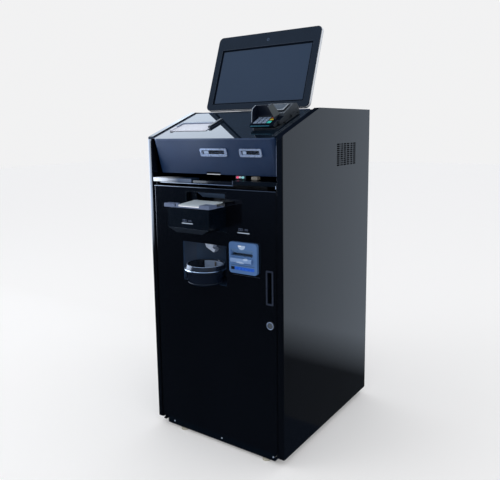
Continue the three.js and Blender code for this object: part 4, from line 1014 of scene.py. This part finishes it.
def add_monitor_trim():
    low, high = span("monitor_bezel")
    place = turned_place(on_monitor(5.0, 241.0, 0.0), on_monitor(0, 0, 1) - on_monitor(0, 0, 0))
    lens_ring = [(4.6, -0.2), (4.6, 0.25), (4.0, 0.55), (3.3, 0.35), (2.9, -0.2)]
    turned("camera_lens_ring", lens_ring, place, TRIM["niche"], "monitor", "monitor_black", 32)
    lens = [(0.0, -0.3), (2.9, -0.3), (2.9, 0.05), (2.0, 0.35), (1.0, 0.5), (0.0, 0.55)]
    turned("camera_lens", lens, place, TRIM["lens"], "monitor", "display_glass", 32)
    half, bottom, top, grow = 173.5, 23.5, 215.5, 4.0
    # Painted highlight: lighter strips on the bezel's step at the left and top of the screen only.
    edges = (("left", (-half - grow, bottom - grow + 2), (-half - grow + 0.9, top + grow - 1)),
             ("top", (-half - grow + 1, top + grow - 0.9), (half + grow - 1, top + grow)))
    for name, start, end in edges:
        strip("monitor_lit_step_" + name, start, end, on_monitor, TRIM["slate"], "monitor", "monitor_black", 0.3,
              (-0.6, 0.15), 0.1)
    outer = soft_rect(-half + 0.3, half - 0.3, bottom + 0.3, top - 0.3, 0.5, 2)
    inner = soft_rect(-half + 2.2, half - 1.6, bottom + 1.8, top - 2.2, 0.3, 2)
    # Painted shade: a black border inside the screen's edge, wider at the left and top, stands for the inner
    # shadow.
    ring("monitor_screen_edge_shade", outer, inner, on_monitor, -4.5, -4.1, TRIM["painted_shade_black"], "monitor",
         "monitor_glass", 0.0)
    shell_half = (high[0] - low[0]) / 2 + 0.6
    tall = 267.0
    outer = soft_rect(-shell_half - 0.2, shell_half + 0.2, -0.8, tall + 0.8, 15.8, 8)
    inner = soft_rect(-shell_half + 3.0, shell_half - 3.0, 2.4, tall - 2.4, 12.6, 8)
    ring("monitor_shell_edge", outer, inner, on_monitor, -13.4, -11.8, TRIM["slate"], "monitor",
         "monitor_black", 0.3)


# ---------------------------------------------------------------- floor, backdrop and light

def stage_plane(name, corners, material):
    mesh = bpy.data.meshes.new(name)
    mesh.from_pydata([tuple(c) for c in corners], [], [(0, 1, 2, 3)])
    mesh.materials.append(material)
    plane = bpy.data.objects.new(name, mesh)
    bpy.context.scene.collection.objects.link(plane)
    return plane


def glow_card(name, corners, colour, axis, start, end, start_strength, end_strength, foot=None):
    """A soft emitting card that only reflections see.

    Its light fades along one axis between two places, and towards its foot."""
    material = bpy.data.materials.new(name)
    material.use_nodes = True
    tree = material.node_tree
    tree.nodes.clear()
    coords = new_node(tree, "TexCoord", {})
    parts = new_node(tree, "SeparateXYZ", {"Vector": coords.outputs["Object"]})
    strength = spread(tree, parts.outputs[axis], start_strength, end_strength, start, end)
    if foot:
        fade = tree.nodes.new("ShaderNodeMath")
        fade.operation = "MULTIPLY"
        set_inputs(tree, fade, {0: strength, 1: spread(tree, parts.outputs["Z"], 0.08, 1.0, *foot)})
        strength = fade.outputs["Value"]
    glow = new_node(tree, "Emission", {"Color": (*colour, 1.0), "Strength": strength})
    new_node(tree, "OutputMaterial", {"Surface": glow.outputs["Emission"]})
    card = stage_plane(name, corners, material)
    card.visible_camera = False
    card.visible_shadow = False
    card.visible_diffuse = False


def add_stage():
    half = 14.0
    floor_material, tree, shader, vector = new_material("pale_floor")
    set_inputs(tree, shader, {
        "Base Color": (0.80, 0.80, 0.805, 1.0), "Emission Color": (1.0, 1.0, 1.0, 1.0),
        "Emission Strength": 0.172, "Specular IOR Level": 0.1,
        "Roughness": spread(tree, noise(tree, vector, 3.0), 0.85, 0.95)})
    floor = stage_plane("floor", [(-half, -half, 0), (half, -half, 0), (half, half, 0), (-half, half, 0)],
                        floor_material)
    floor.visible_glossy = False
    y = 0.507
    cool = (0.84, 0.96, 1.12)
    glow_card("reflected_wall", [(-5, y, -0.3), (5, y, -0.3), (5, y, 4.0), (-5, y, 4.0)], cool,
              "X", -0.5, 0.25, 2.25, 0.70, (-0.02, 0.16))
    x, y0, y1 = -0.95, -0.92, -0.1
    glow_card("reflected_left_wall", [(x, y0, 0.0), (x, y1, 0.0), (x, y1, 1.3), (x, y0, 1.3)],
              (0.80, 0.94, 1.20), "Z", 0.44, 0.68, 0.01, 7.0)
    near, far = (1.75, -1.75), (2.15, -0.75)
    glow_card("reflected_strip", [(*near, 0.1), (*far, 0.1), (*far, 1.9), (*near, 1.9)], cool, "Z", 0.1, 1.0,
              0.10, 0.35)
    lamp = Vector((-0.21, -0.44, 1.05))
    across, tall = Vector((0.030, -0.020, 0.0)), Vector((0.0, 0.0, 0.24))
    glow_card("reflected_lamp", [lamp - across - tall, lamp + across - tall, lamp + across + tall,
                                 lamp - across + tall], cool, "Z", 0.5, 1.0, 4.5, 4.5)


def add_area(name, place, target, size, power):
    """A soft light that reflections do not see."""
    data = bpy.data.lights.new(name, "AREA")
    data.shape = "RECTANGLE"
    data.size, data.size_y = size
    data.energy = power
    light = bpy.data.objects.new(name, data)
    bpy.context.scene.collection.objects.link(light)
    light.location = place
    light.rotation_mode = "QUATERNION"
    light.rotation_quaternion = (Vector(target) - Vector(place)).to_track_quat("-Z", "Y")
    light.visible_camera = False
    light.visible_glossy = False


def add_world():
    """Plain pale to the camera and to diffuse light; a dim room with a bright ceiling for reflections."""
    world = bpy.data.worlds.new("studio")
    bpy.context.scene.world = world
    world.use_nodes = True
    tree = world.node_tree
    tree.nodes.clear()
    coords = new_node(tree, "TexCoord", {})
    split = new_node(tree, "SeparateXYZ", {"Vector": coords.outputs["Generated"]})
    height = spread(tree, split.outputs["Z"], 0.0, 1.0, -1.0, 1.0)
    ramp = new_node(tree, "ValToRGB", {"Fac": height})
    ramp.color_ramp.interpolation = "EASE"
    stops = ramp.color_ramp.elements
    stops[0].position = 0.38
    stops[0].color = (0.022, 0.032, 0.052, 1.0)
    stops[1].position = 0.82
    stops[1].color = (0.50, 0.68, 0.98, 1.0)
    horizon = stops.new(0.50)
    horizon.color = (0.05, 0.085, 0.16, 1.0)
    room = new_node(tree, "Background", {"Color": ramp.outputs["Color"]})
    plain = new_node(tree, "Background", {"Color": (0.885, 0.885, 0.89, 1.0)})
    path = new_node(tree, "LightPath", {})
    mix = new_node(tree, "MixShader", {"Fac": path.outputs["Is Glossy Ray"], 1: plain.outputs["Background"],
                                       2: room.outputs["Background"]})
    new_node(tree, "OutputWorld", {"Surface": mix.outputs["Shader"]})


add_camera()
finish_cad_nodes()
repaint_parts()
add_front_rail()
add_rail_lights()
add_plinth_trim()
add_back_trim()
add_hopper_trim()
add_door_top_edge()
add_door_pictures()
add_coin_cup()
add_niche_trim()
add_note_bezel_trim()
add_handle_trim()
add_lock_trim()
add_fascia_trim()
add_slot_throats()
add_document_window()
add_deck_edge_highlights()
add_keys()
add_terminal_trim()
add_monitor_trim()
add_stage()
add_world()
add_area("key_softbox", (-1.8, -2.0, 2.6), (0.0, 0.0, 0.7), (1.6, 1.6), 12.0)
add_area("side_softbox", (2.3, -1.7, 1.5), (0.0, 0.0, 0.8), (1.0, 1.4), 5.0)
